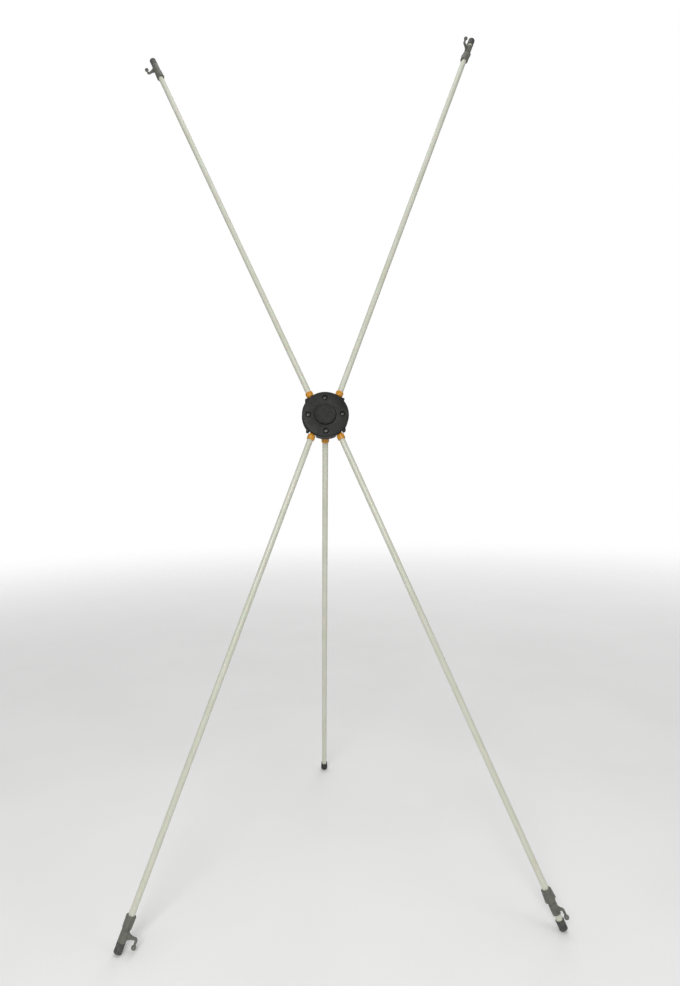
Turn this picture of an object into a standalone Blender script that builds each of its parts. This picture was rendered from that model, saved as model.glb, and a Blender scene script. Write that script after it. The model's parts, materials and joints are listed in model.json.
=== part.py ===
"""Folding X-frame display stand: a round hub carries four equal poles in an X and a rear leg.

Every pole pivots on a steel pin held between the hub's two shells, and folds backward like an umbrella rib.
Units are metres, +Z is up, and the stand faces -Y with its base centred on the origin.

The hub has its own frame: X to the right, Z up in the plane of the disc, Y backward along the disc's axis.
Each pole has its own frame: the origin is on its pin's axis, X runs along the pin and Z along the pole.
"""

from math import cos, pi, radians, sin, sqrt

import bmesh
import bpy
from mathutils import Vector

GAP = 0.0003  # between two solids that touch
ROUND_STEPS = 24
SMALL_STEPS = 12
DISC_STEPS = 64
POCKET_STEPS = 32
COUNTERBORE_STEPS = 16
CUT_OVER = 0.0020  # how far a cutter runs past the face that it opens

# Stance
HUB_LEAN = radians(13.5)
POLE_SPREAD = radians(21.6)  # from the disc's vertical to each of the four poles
ARM_LEFT_FOLD = radians(5.8)  # how far back from its stop each arm stands
ARM_RIGHT_FOLD = radians(2.4)
LEG_FOLD = 0.0
REAR_LEG_FOLD = radians(39.0)

# Poles
POLE_REACH = 0.835  # hinge pin to the outer face of the end cap
POLE_RADIUS = 0.0050
POLE_WALL = 0.0014

# Hub
HUB_RADIUS = 0.0400
FRONT_DEPTH = 0.0100
REAR_DEPTH = 0.0085
HUB_EDGE = 0.0018
POCKET_RADIUS = 0.0190
POCKET_WALL = 0.0028
SCREW_SETBACK = 0.01075  # from the rim to each screw's axis
SCREW_HEAD_RADIUS = 0.0034
SCREW_HEAD_HEIGHT = 0.0022
SCREW_SHOULDER_HEIGHT = 0.0011  # where the head's side turns into its dome
SCREW_CROWN_RADIUS = 0.0020
SCREW_CROWN_DROP = 0.00015
SCREW_SHANK_RADIUS = 0.0015
SCREW_THREAD_REACH = 0.0059  # how far the screw runs into the rear shell
COUNTERBORE_ROOM = 0.0011  # round each screw head
COUNTERBORE_DEPTH = 0.0034
CAP_RADIUS = 0.0180
CAP_HEIGHT = 0.0024
CAP_EDGE = 0.0009
CAP_SPIGOT_RADIUS = 0.0060
CAP_SPIGOT_REACH = 0.0015  # how far the spigot comes out inside the hub

# Hinges
PIN_SETBACK = 0.008854  # from the rim to each pin's middle
PIN_ANGLE = radians(39.593)  # round the disc, from the vertical to each pin's middle
PIN_RADIUS = 0.0015
PIN_HOLD = 0.0038  # length of each pin's end that the rear shell holds
CHEEK_REACH = 0.0090  # how far a cheek runs along the pole from the pin
EAR_WALL = 0.0006
EAR_INSET = 0.0006  # from the split between the shells to each ear
EYE_RADIUS = 0.0053
EYE_WIDTH = 0.0106
EYE_ROOM = 0.0007  # behind the rear shell, so that the rear leg's eye clears it
NECK_RADIUS = 0.0050
BEAD_WALL = 0.0013
BEAD_ROOM = 0.0018  # from the cheeks to the bead
BEAD_LENGTH = 0.0088
BEAD_EDGE = 0.0014
SOCKET_DEPTH = 0.0065
CLEVIS_WALL = 0.0050
CLEVIS_RADIUS = 0.0065

# Fittings at the four tips
CAP_LENGTH = 0.0149
CAP_SIDE_WALL = 0.00095
TIP_EDGE = 0.0016
TIP_WALL = 0.0025
COLLAR_LENGTH = 0.0207
COLLAR_WALL = 0.0023
COLLAR_NECK_LENGTH = 0.0032
COLLAR_CHAMFER = 0.0008
COLLAR_CHAMFER_LENGTH = 0.0010
WING_PROUD = 0.0020  # at the wing's end, past the collar's side
WING_PROUD_AT_ENTRY = 0.0002
WING_START = 0.0020
WING_WIDTH = 0.0062
WING_ROOT = 0.0008  # how far outside the bore a wing begins
SLEEVE_LENGTH = 0.0162
SLEEVE_WALL = 0.00105
STRUT_ROOT = 0.0116  # the hook's strut, wide at the sleeve and narrow at its corner
STRUT_START = 0.0008
STRUT_TIP = 0.0046
STRUT_TIP_START = 0.0040
STRUT_WIDTH = 0.0046
STRUT_SINK = 0.0006  # how far outside the bore the strut begins
HOOK_THROAT = 0.01305  # sleeve's side to the middle of the hook's arm
HOOK_ARM_RADIUS = 0.0020
HOOK_ARM_LENGTH = 0.0111
BALL_RADIUS = 0.0037

# Where each slider stands, and which way its hook points, turned about the pole from the pin's axis
ARM_LEFT_TIP_GAP = GAP
ARM_RIGHT_TIP_GAP = 0.0050
LEG_LEFT_TIP_GAP = GAP
LEG_RIGHT_TIP_GAP = 0.0083
ARM_LEFT_HOOK_TURN = radians(165.0)
ARM_RIGHT_HOOK_TURN = radians(233.0)
LEG_LEFT_HOOK_TURN = radians(178.0)
LEG_RIGHT_HOOK_TURN = radians(246.0)

# Rear leg
FOOT_SIDE_WALL = 0.0010
FOOT_FLARE = 0.0007
FOOT_FLARE_START = 0.0040  # from the foot's mouth
FOOT_FLARE_END = 0.0108
FOOT_LENGTH = 0.0168
FOOT_EDGE = 0.0024
FOOT_WALL = 0.0036

# Worked out from the sizes above
BORE_RADIUS = POLE_RADIUS + GAP
SLEEVE_RADIUS = BORE_RADIUS + SLEEVE_WALL
COLLAR_RADIUS = BORE_RADIUS + COLLAR_WALL
WING_HALF_SPAN = COLLAR_RADIUS + WING_PROUD
TIP_RADIUS = BORE_RADIUS + CAP_SIDE_WALL
HOOK_REACH = SLEEVE_RADIUS + HOOK_THROAT
FOOT_TOP_RADIUS = BORE_RADIUS + FOOT_SIDE_WALL
FOOT_RADIUS = FOOT_TOP_RADIUS + FOOT_FLARE
BEAD_RADIUS = BORE_RADIUS + BEAD_WALL
BEAD_START = CHEEK_REACH + BEAD_ROOM
POLE_START = BEAD_START + BEAD_LENGTH - SOCKET_DEPTH + GAP
PIN_HOLE_RADIUS = PIN_RADIUS + GAP
SLOT_HALF_WIDTH = EYE_WIDTH / 2 + GAP
REAR_SLOT_HALF_WIDTH = BEAD_RADIUS + 2 * GAP  # a bead swings through it
SLOT_BACK = EYE_RADIUS + GAP
PIN_LENGTH = 2 * (REAR_SLOT_HALF_WIDTH + PIN_HOLD)
PIN_X = (HUB_RADIUS - PIN_SETBACK) * sin(PIN_ANGLE)
PIN_Z = (HUB_RADIUS - PIN_SETBACK) * cos(PIN_ANGLE)
REAR_PIN_Y = REAR_DEPTH + EYE_RADIUS + EYE_ROOM
REAR_PIN_Z = -PIN_Z
SCREW_CIRCLE_RADIUS = HUB_RADIUS - SCREW_SETBACK
SCREW_SHANK_LENGTH = FRONT_DEPTH - COUNTERBORE_DEPTH + SCREW_THREAD_REACH
COUNTERBORE_RADIUS = SCREW_HEAD_RADIUS + COUNTERBORE_ROOM


def clear_scene():
    for item in list(bpy.data.objects):
        bpy.data.objects.remove(item, do_unlink=True)


def new_collection(name):
    collection = bpy.data.collections.new(name)
    bpy.context.scene.collection.children.link(collection)
    return collection


def material(name, color, roughness, metallic=0.0):
    made = bpy.data.materials.new(name)
    made.use_nodes = True
    shader = made.node_tree.nodes["Principled BSDF"]
    shader.inputs["Base Color"].default_value = (*color, 1.0)
    shader.inputs["Roughness"].default_value = roughness
    shader.inputs["Metallic"].default_value = metallic
    return made


def empty(name, parent, location=(0, 0, 0), rotation=(0, 0, 0)):
    made = bpy.data.objects.new(name, None)
    made.parent = parent
    made.location = location
    made.rotation_euler = rotation
    PARTS.objects.link(made)
    return made


def place(name, mesh, parent, location=(0, 0, 0), rotation=(0, 0, 0), finish=None):
    """A part, or a cutter when it has no finish."""
    made = bpy.data.objects.new(name, mesh)
    made.parent = parent
    made.location = location
    made.rotation_euler = rotation
    if finish is None:
        made.hide_render = True
        made.display_type = "WIRE"
        CUTTERS.objects.link(made)
    else:
        mesh.materials.append(finish)
        PARTS.objects.link(made)
    return made


def box_mesh(name, low, high):
    mesh = bpy.data.meshes.new(name)
    shape = bmesh.new()
    bmesh.ops.create_cube(shape, size=1.0)
    size = Vector(high) - Vector(low)
    bmesh.ops.scale(shape, vec=size, verts=shape.verts)
    bmesh.ops.translate(shape, vec=Vector(low) + size / 2, verts=shape.verts)
    shape.to_mesh(mesh)
    shape.free()
    return mesh


def rod_mesh(name, radius, start, end, steps=ROUND_STEPS):
    """A cylinder along Z from start to end."""
    mesh = bpy.data.meshes.new(name)
    shape = bmesh.new()
    bmesh.ops.create_cone(
        shape, cap_ends=True, segments=steps, radius1=radius, radius2=radius, depth=end - start
    )
    bmesh.ops.translate(shape, vec=(0, 0, (start + end) / 2), verts=shape.verts)
    shape.to_mesh(mesh)
    shape.free()
    mesh.shade_smooth()
    mesh.set_sharp_from_angle(angle=radians(40))
    return mesh


def profile_mesh(name, points, closed=False):
    """The (radius, height) outline of a turned piece, its outer side running top to bottom."""
    mesh = bpy.data.meshes.new(name)
    shape = bmesh.new()
    verts = [shape.verts.new((radius, 0, height)) for radius, height in points]
    for a, b in zip(verts, verts[1:]):
        shape.edges.new((a, b))
    if closed:
        shape.edges.new((verts[-1], verts[0]))
    shape.to_mesh(mesh)
    shape.free()
    return mesh


def turn(made, steps=ROUND_STEPS):
    screw = made.modifiers.new("Turned", "SCREW")
    screw.steps = steps
    screw.render_steps = steps
    screw.use_merge_vertices = True
    screw.merge_threshold = 0.00001
    screw.use_smooth_shade = True
    return made


def rounded_corner(radius, height, edge, quarter, steps=3):
    """Points round an outer corner at (radius, height): quarter 0 is a top corner, quarter 1 a bottom one."""
    centre_height = height - edge if quarter == 0 else height + edge
    start = pi / 2 - quarter * pi / 2
    points = []
    for i in range(steps + 1):
        angle = start - i * pi / 2 / steps
        points.append((radius - edge + edge * cos(angle), centre_height + edge * sin(angle)))
    return points


def boolean(made, other, operation):
    cut = made.modifiers.new(other.name, "BOOLEAN")
    cut.operation = operation
    cut.object = other
    return made


# --- Hub ---------------------------------------------------------------------------------------------------


POLE_SIDES = {  # pole: (side of the disc, up or down)
    "arm_left": (-1, 1),
    "arm_right": (1, 1),
    "leg_left": (-1, -1),
    "leg_right": (1, -1),
}
FOLDS = {
    "arm_left": ARM_LEFT_FOLD,
    "arm_right": ARM_RIGHT_FOLD,
    "leg_left": LEG_FOLD,
    "leg_right": LEG_FOLD,
    "rear_leg": REAR_LEG_FOLD,
}


def pole_turn(pole):
    """The angle about the disc's axis from straight up to the pole."""
    if pole == "rear_leg":
        return pi
    side, up = POLE_SIDES[pole]
    return side * (POLE_SPREAD if up > 0 else pi - POLE_SPREAD)


def pin_place(pole):
    if pole == "rear_leg":
        return (0, REAR_PIN_Y, REAR_PIN_Z)
    side, up = POLE_SIDES[pole]
    return (side * PIN_X, 0, up * PIN_Z)


def outward(pole):
    """Which way along the pin's axis leads away from the middle of the disc."""
    side, up = POLE_SIDES[pole]
    return side * up


def cut_hinge_seats(shell, prefix, half_width, slot_low, slot_high, ear_low, ear_high):
    """Gives a shell an ear, a slot and a pin groove for each of the four poles."""
    for pole in POLE_SIDES:
        seat = {"location": pin_place(pole), "rotation": (0, pole_turn(pole), 0)}
        near = SLOT_HALF_WIDTH - CUT_OVER
        far = PIN_LENGTH / 2 + GAP + EAR_WALL
        low, high = sorted((outward(pole) * near, outward(pole) * far))
        ear = box_mesh(
            f"{prefix}_{pole}_ear", (low, ear_low, -CHEEK_REACH), (high, ear_high, CHEEK_REACH)
        )
        boolean(shell, place(f"{prefix}_{pole}_ear", ear, HUB, **seat), "UNION")
    for pole in POLE_SIDES:
        seat = {"location": pin_place(pole), "rotation": (0, pole_turn(pole), 0)}
        slot = box_mesh(
            f"{prefix}_{pole}_slot",
            (-half_width, slot_low, -SLOT_BACK),
            (half_width, slot_high, HUB_RADIUS),
        )
        boolean(shell, place(f"{prefix}_{pole}_slot", slot, HUB, **seat), "DIFFERENCE")
        half = PIN_LENGTH / 2 + GAP
        groove = rod_mesh(f"{prefix}_{pole}_groove", PIN_HOLE_RADIUS, -half, half, SMALL_STEPS)
        seat["rotation"] = (0, pole_turn(pole) + pi / 2, 0)
        boolean(shell, place(f"{prefix}_{pole}_groove", groove, HUB, **seat), "DIFFERENCE")


SCREW_TURNS = {"top": 0.0, "right": pi / 2, "bottom": pi, "left": -pi / 2}
FACING_FRONT = (pi / 2, 0, 0)  # turns a piece's Z to the hub's -Y


def screw_place(turn_angle, depth=0.0):
    return (SCREW_CIRCLE_RADIUS * sin(turn_angle), depth, SCREW_CIRCLE_RADIUS * cos(turn_angle))


def make_front_shell():
    outline = [(0, FRONT_DEPTH)]
    outline += rounded_corner(HUB_RADIUS, FRONT_DEPTH, HUB_EDGE, 0)
    outline += [(HUB_RADIUS, GAP / 2), (0, GAP / 2)]
    mesh = profile_mesh("hub_front_shell", outline)
    shell = place("hub_front_shell", mesh, HUB, rotation=FACING_FRONT, finish=HUB_BLACK)
    turn(shell, DISC_STEPS)
    slot_span = (-EYE_RADIUS - GAP, CUT_OVER)
    ear_span = (-FRONT_DEPTH + HUB_EDGE, -EAR_INSET)
    cut_hinge_seats(shell, "front", SLOT_HALF_WIDTH, *slot_span, *ear_span)
    pocket = rod_mesh("front_pocket", POCKET_RADIUS, -CUT_OVER, FRONT_DEPTH - POCKET_WALL, POCKET_STEPS)
    boolean(shell, place("front_pocket", pocket, HUB, rotation=FACING_FRONT), "DIFFERENCE")
    hole = rod_mesh("cap_hole", CAP_SPIGOT_RADIUS + GAP, 0, FRONT_DEPTH + CUT_OVER)
    boolean(shell, place("cap_hole", hole, HUB, rotation=FACING_FRONT), "DIFFERENCE")
    for name, angle in SCREW_TURNS.items():
        counterbore = rod_mesh(
            f"front_{name}_counterbore",
            COUNTERBORE_RADIUS,
            FRONT_DEPTH - COUNTERBORE_DEPTH,
            FRONT_DEPTH + CUT_OVER,
            COUNTERBORE_STEPS,
        )
        hole = rod_mesh(
            f"front_{name}_hole", SCREW_SHANK_RADIUS + GAP, -CUT_OVER, FRONT_DEPTH, SMALL_STEPS
        )
        for cutter in (counterbore, hole):
            placed = place(cutter.name, cutter, HUB, screw_place(angle), FACING_FRONT)
            boolean(shell, placed, "DIFFERENCE")


def make_rear_shell():
    outline = [(0, -GAP / 2), (HUB_RADIUS, -GAP / 2)]
    outline += rounded_corner(HUB_RADIUS, -REAR_DEPTH, HUB_EDGE, 1)
    outline += [(0, -REAR_DEPTH)]
    mesh = profile_mesh("hub_rear_shell", outline)
    shell = place("hub_rear_shell", mesh, HUB, rotation=FACING_FRONT, finish=HUB_BLACK)
    turn(shell, DISC_STEPS)
    slot_span = (-CUT_OVER, REAR_DEPTH + CUT_OVER)
    ear_span = (EAR_INSET, REAR_DEPTH - HUB_EDGE)
    cut_hinge_seats(shell, "rear", REAR_SLOT_HALF_WIDTH, *slot_span, *ear_span)
    add_rear_clevis(shell)
    pocket = rod_mesh("rear_pocket", POCKET_RADIUS, -REAR_DEPTH + POCKET_WALL, CUT_OVER, POCKET_STEPS)
    boolean(shell, place("rear_pocket", pocket, HUB, rotation=FACING_FRONT), "DIFFERENCE")
    thread_end = -(SCREW_SHANK_LENGTH - FRONT_DEPTH + COUNTERBORE_DEPTH) - GAP
    for name, angle in SCREW_TURNS.items():
        hole = rod_mesh(
            f"rear_{name}_hole", SCREW_SHANK_RADIUS + GAP, thread_end, CUT_OVER, SMALL_STEPS
        )
        placed = place(f"rear_{name}_hole", hole, HUB, screw_place(angle), FACING_FRONT)
        boolean(shell, placed, "DIFFERENCE")


def add_rear_clevis(shell):
    """Two cheeks behind the disc hold the rear leg's pin."""
    for side, name in ((-1, "left"), (1, "right")):
        low, high = sorted((side * SLOT_HALF_WIDTH, side * (SLOT_HALF_WIDTH + CLEVIS_WALL)))
        base = box_mesh(
            f"clevis_{name}_base",
            (low, REAR_DEPTH - CUT_OVER / 2, REAR_PIN_Z - CLEVIS_RADIUS),
            (high, REAR_PIN_Y, REAR_PIN_Z + CLEVIS_RADIUS),
        )
        nose = rod_mesh(f"clevis_{name}_nose", CLEVIS_RADIUS, low, high)
        boolean(shell, place(f"clevis_{name}_base", base, HUB), "UNION")
        at_pin = {"location": pin_place("rear_leg"), "rotation": (0, pi / 2, 0)}
        boolean(shell, place(f"clevis_{name}_nose", nose, HUB, **at_pin), "UNION")
    half = SLOT_HALF_WIDTH + CLEVIS_WALL + CUT_OVER
    hole = rod_mesh("clevis_pin_hole", PIN_HOLE_RADIUS, -half, half, SMALL_STEPS)
    at_pin = {"location": pin_place("rear_leg"), "rotation": (0, pi / 2, 0)}
    boolean(shell, place("clevis_pin_hole", hole, HUB, **at_pin), "DIFFERENCE")


def make_centre_cap():
    base = FRONT_DEPTH + GAP
    spigot_end = FRONT_DEPTH - POCKET_WALL - CAP_SPIGOT_REACH
    outline = [(0, base + CAP_HEIGHT)]
    outline += rounded_corner(CAP_RADIUS, base + CAP_HEIGHT, CAP_EDGE, 0)
    outline += [
        (CAP_RADIUS, base),
        (CAP_SPIGOT_RADIUS, base),
        (CAP_SPIGOT_RADIUS, spigot_end),
        (0, spigot_end),
    ]
    mesh = profile_mesh("hub_centre_cap", outline)
    turn(place("hub_centre_cap", mesh, HUB, rotation=FACING_FRONT, finish=HUB_BLACK), POCKET_STEPS)


def make_screws():
    seat = FRONT_DEPTH - COUNTERBORE_DEPTH + GAP
    for name, angle in SCREW_TURNS.items():
        outline = [(0, SCREW_HEAD_HEIGHT)]
        outline += [(SCREW_CROWN_RADIUS, SCREW_HEAD_HEIGHT - SCREW_CROWN_DROP)]
        outline += [(SCREW_HEAD_RADIUS, SCREW_SHOULDER_HEIGHT), (SCREW_HEAD_RADIUS, 0)]
        outline += [(SCREW_SHANK_RADIUS, 0), (SCREW_SHANK_RADIUS, -SCREW_SHANK_LENGTH)]
        outline += [(0, -SCREW_SHANK_LENGTH)]
        mesh = profile_mesh(f"hub_screw_{name}", outline)
        screw = place(
            f"hub_screw_{name}", mesh, HUB, screw_place(angle, -seat), FACING_FRONT, finish=STEEL
        )
        turn(screw, SMALL_STEPS)


# --- Poles -------------------------------------------------------------------------------------------------


def make_pivot(pole):
    """The empty on the pole's pin, whose Z runs along the pole."""
    rotation = (-FOLDS[pole], pole_turn(pole), 0)
    return empty(f"{pole}_pivot", HUB, pin_place(pole), rotation)


def make_hinge_pin(pole):
    mesh = rod_mesh(f"{pole}_hinge_pin", PIN_RADIUS, -PIN_LENGTH / 2, PIN_LENGTH / 2, SMALL_STEPS)
    rotation = (0, pole_turn(pole) + pi / 2, 0)
    place(f"{pole}_hinge_pin", mesh, HUB, pin_place(pole), rotation, finish=STEEL)


def make_knuckle(pole, pivot):
    """Eye on the pin, neck, and a bead whose socket holds the pole."""
    mesh = rod_mesh(f"{pole}_knuckle", EYE_RADIUS, -EYE_WIDTH / 2, EYE_WIDTH / 2)
    knuckle = place(f"{pole}_knuckle", mesh, pivot, rotation=(0, pi / 2, 0), finish=KNUCKLE_ORANGE)
    neck = rod_mesh(f"{pole}_neck", NECK_RADIUS, 0, BEAD_START + BEAD_EDGE)
    boolean(knuckle, place(f"{pole}_neck", neck, pivot), "UNION")
    bead_end = BEAD_START + BEAD_LENGTH
    outline = [(0, bead_end)]
    outline += rounded_corner(BEAD_RADIUS, bead_end, BEAD_EDGE, 0, 2)
    outline += rounded_corner(BEAD_RADIUS, BEAD_START, BEAD_EDGE, 1, 2)
    outline += [(0, BEAD_START)]
    bead = turn(place(f"{pole}_bead", profile_mesh(f"{pole}_bead", outline), pivot))
    boolean(knuckle, bead, "UNION")
    socket = rod_mesh(f"{pole}_socket", BORE_RADIUS, bead_end - SOCKET_DEPTH, bead_end + CUT_OVER)
    boolean(knuckle, place(f"{pole}_socket", socket, pivot), "DIFFERENCE")
    eye_hole = rod_mesh(f"{pole}_eye_hole", PIN_HOLE_RADIUS, -EYE_WIDTH, EYE_WIDTH, SMALL_STEPS)
    boolean(knuckle, place(f"{pole}_eye_hole", eye_hole, pivot, rotation=(0, pi / 2, 0)), "DIFFERENCE")


def make_tube(pole, pivot, end):
    inner = POLE_RADIUS - POLE_WALL
    outline = [(POLE_RADIUS, end), (POLE_RADIUS, POLE_START), (inner, POLE_START), (inner, end)]
    mesh = profile_mesh(f"{pole}_pole", outline, closed=True)
    turn(place(f"{pole}_pole", mesh, pivot, finish=GLASS_FIBRE))


# --- Fittings ----------------------------------------------------------------------------------------------


TIP_GAPS = {
    "arm_left": ARM_LEFT_TIP_GAP,
    "arm_right": ARM_RIGHT_TIP_GAP,
    "leg_left": LEG_LEFT_TIP_GAP,
    "leg_right": LEG_RIGHT_TIP_GAP,
}
HOOK_TURNS = {
    "arm_left": ARM_LEFT_HOOK_TURN,
    "arm_right": ARM_RIGHT_HOOK_TURN,
    "leg_left": LEG_LEFT_HOOK_TURN,
    "leg_right": LEG_RIGHT_HOOK_TURN,
}


def make_end_cap(pole, pivot):
    mouth = POLE_REACH - CAP_LENGTH
    outline = rounded_corner(TIP_RADIUS, POLE_REACH, TIP_EDGE, 0)
    outline += [
        (TIP_RADIUS, mouth),
        (BORE_RADIUS, mouth),
        (BORE_RADIUS, POLE_REACH - TIP_WALL),
        (0, POLE_REACH - TIP_WALL),
    ]
    mesh = profile_mesh(f"{pole}_end_cap", [(0, POLE_REACH)] + outline)
    turn(place(f"{pole}_end_cap", mesh, pivot, finish=CAP_BLACK))


def make_grip_collar(pole, slider):
    """A tapered collar with two wings; it begins at the slider's origin and ends in a short neck."""
    grip_end = COLLAR_LENGTH - COLLAR_NECK_LENGTH
    outline = [
        (SLEEVE_RADIUS, COLLAR_LENGTH),
        (SLEEVE_RADIUS, grip_end),
        (COLLAR_RADIUS, grip_end),
        (COLLAR_RADIUS, COLLAR_CHAMFER_LENGTH),
        (COLLAR_RADIUS - COLLAR_CHAMFER, 0),
        (BORE_RADIUS, 0),
        (BORE_RADIUS, COLLAR_LENGTH),
    ]
    outline = [outline[-1]] + outline[:-1]
    mesh = profile_mesh(f"{pole}_grip_collar", outline, closed=True)
    collar = turn(place(f"{pole}_grip_collar", mesh, slider, finish=FITTING_GREY))
    for side, name in ((-1, "back"), (1, "front")):
        wing = box_mesh(
            f"{pole}_{name}_wing",
            (-WING_WIDTH / 2, BORE_RADIUS + WING_ROOT, WING_START),
            (WING_WIDTH / 2, WING_HALF_SPAN, grip_end),
        )
        for vertex in wing.vertices:
            if vertex.co.z < grip_end / 2 and vertex.co.y > COLLAR_RADIUS:
                vertex.co.y = COLLAR_RADIUS + WING_PROUD_AT_ENTRY
        rotation = (0, 0, 0 if side > 0 else pi)
        boolean(collar, place(f"{pole}_{name}_wing", wing, slider, rotation=rotation), "UNION")


def make_hook_sleeve(pole, slider):
    """A sleeve that turns on the pole, with a strut out to an arm that ends in a ball."""
    start = COLLAR_LENGTH + GAP
    end = start + SLEEVE_LENGTH
    outline = [(BORE_RADIUS, end), (SLEEVE_RADIUS, end), (SLEEVE_RADIUS, start), (BORE_RADIUS, start)]
    mesh = profile_mesh(f"{pole}_hook_sleeve", outline, closed=True)
    sleeve = turn(place(f"{pole}_hook_sleeve", mesh, slider, finish=FITTING_GREY))
    root = start + STRUT_START
    corner = start + STRUT_TIP_START
    strut = box_mesh(
        f"{pole}_strut",
        (BORE_RADIUS + STRUT_SINK, -STRUT_WIDTH / 2, root),
        (HOOK_REACH, STRUT_WIDTH / 2, root + STRUT_ROOT),
    )
    for vertex in strut.vertices:
        if vertex.co.x > HOOK_REACH / 2:
            low_side = vertex.co.z < root + STRUT_ROOT / 2
            vertex.co.z = corner if low_side else corner + STRUT_TIP
    boolean(sleeve, place(f"{pole}_strut", strut, slider), "UNION")
    arm = rod_mesh(
        f"{pole}_hook_arm", HOOK_ARM_RADIUS, corner, corner + STRUT_TIP / 2 + HOOK_ARM_LENGTH, SMALL_STEPS
    )
    boolean(sleeve, place(f"{pole}_hook_arm", arm, slider, (HOOK_REACH, 0, 0)), "UNION")
    ball = bpy.data.meshes.new(f"{pole}_hook_ball")
    shape = bmesh.new()
    bmesh.ops.create_uvsphere(shape, u_segments=SMALL_STEPS, v_segments=8, radius=BALL_RADIUS)
    shape.to_mesh(ball)
    shape.free()
    at_end = (HOOK_REACH, 0, corner + STRUT_TIP / 2 + HOOK_ARM_LENGTH)
    boolean(sleeve, place(f"{pole}_hook_ball", ball, slider, at_end), "UNION")


def make_tip(pole, pivot):
    make_end_cap(pole, pivot)
    slider_length = COLLAR_LENGTH + GAP + SLEEVE_LENGTH
    entry = POLE_REACH - CAP_LENGTH - TIP_GAPS[pole] - slider_length
    slider = empty(f"{pole}_slider", pivot, (0, 0, entry), (0, 0, HOOK_TURNS[pole]))
    make_grip_collar(pole, slider)
    make_hook_sleeve(pole, slider)


# --- Rear leg ----------------------------------------------------------------------------------------------


def drop(pin_height, slope, reach, radius, edge):
    """The height of the lowest point of a round tip whose pole falls by slope for each metre."""
    sideways = sqrt(1 - slope**2)
    return pin_height - (reach - edge) * slope - (radius - edge) * sideways - edge


def rear_leg_reach():
    """Pin to the end of the rear foot, so that the foot stands on the same floor as the two legs."""
    leg_slope = cos(POLE_SPREAD) * cos(HUB_LEAN) * cos(LEG_FOLD) + sin(LEG_FOLD) * sin(HUB_LEAN)
    floor = drop(-PIN_Z * cos(HUB_LEAN), leg_slope, POLE_REACH, TIP_RADIUS, TIP_EDGE)
    pin_height = REAR_PIN_Z * cos(HUB_LEAN) - REAR_PIN_Y * sin(HUB_LEAN)
    slope = cos(REAR_LEG_FOLD - HUB_LEAN)
    at_zero_reach = drop(pin_height, slope, 0, FOOT_RADIUS, FOOT_EDGE)
    return (at_zero_reach - floor) / slope


def make_rear_foot(pivot, reach):
    top = reach - FOOT_LENGTH
    outline = [(0, reach)]
    outline += rounded_corner(FOOT_RADIUS, reach, FOOT_EDGE, 0, 4)
    outline += [
        (FOOT_RADIUS, top + FOOT_FLARE_END),
        (FOOT_TOP_RADIUS, top + FOOT_FLARE_START),
        (FOOT_TOP_RADIUS, top),
        (BORE_RADIUS, top),
        (BORE_RADIUS, reach - FOOT_WALL),
        (0, reach - FOOT_WALL),
    ]
    mesh = profile_mesh("rear_foot", outline)
    turn(place("rear_foot", mesh, pivot, finish=FOOT_RUBBER))


def stand_on_origin(root, parts):
    """Moves the stand so that its box's bottom centre is at the origin."""
    bpy.context.view_layer.update()
    graph = bpy.context.evaluated_depsgraph_get()
    low = Vector((1e9, 1e9, 1e9))
    high = -low
    for item in parts:
        evaluated = item.evaluated_get(graph)
        mesh = evaluated.to_mesh()
        for vertex in mesh.vertices:
            point = evaluated.matrix_world @ vertex.co
            low = Vector(map(min, low, point))
            high = Vector(map(max, high, point))
        evaluated.to_mesh_clear()
    root.location = (-(low.x + high.x) / 2, -(low.y + high.y) / 2, -low.z)


clear_scene()
PARTS = new_collection("x_frame_display_stand")
CUTTERS = new_collection("cutters")
CUTTERS.hide_render = True

HUB_BLACK = material("hub_black", (0.022, 0.022, 0.021), 0.42)
STEEL = material("steel", (0.62, 0.62, 0.60), 0.28, 1.0)
KNUCKLE_ORANGE = material("knuckle_orange", (0.62, 0.24, 0.015), 0.38)
GLASS_FIBRE = material("glass_fibre", (0.62, 0.64, 0.54), 0.30)
FITTING_GREY = material("fitting_grey", (0.115, 0.120, 0.100), 0.50)
CAP_BLACK = material("cap_black", (0.035, 0.035, 0.032), 0.60)
FOOT_RUBBER = material("foot_rubber", (0.020, 0.020, 0.020), 0.75)

ROOT = empty("stand", None)
HUB = empty("hub", ROOT, rotation=(-HUB_LEAN, 0, 0))

make_front_shell()
make_rear_shell()
make_centre_cap()
make_screws()
for pole_name in FOLDS:
    pole_pivot = make_pivot(pole_name)
    make_hinge_pin(pole_name)
    make_knuckle(pole_name, pole_pivot)
    if pole_name == "rear_leg":
        foot_reach = rear_leg_reach()
        make_tube(pole_name, pole_pivot, foot_reach - FOOT_WALL - GAP)
        make_rear_foot(pole_pivot, foot_reach)
    else:
        make_tube(pole_name, pole_pivot, POLE_REACH - TIP_WALL - GAP)
        make_tip(pole_name, pole_pivot)
stand_on_origin(ROOT, [item for item in PARTS.objects if item.type == "MESH"])
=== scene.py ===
"""Looks for the folding X-frame display stand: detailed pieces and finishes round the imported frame.

Units are metres, +Z is up, and the stand faces -Y. Every piece is made in the frame of the disc or the pole
that it belongs to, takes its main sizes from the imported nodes, and rides on the body of the node that it
stands for.
"""

import json
from itertools import groupby
from math import cos, pi, radians, sin, tan

import bmesh
import bpy
import numpy as np
from mathutils import Matrix, Vector

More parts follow.
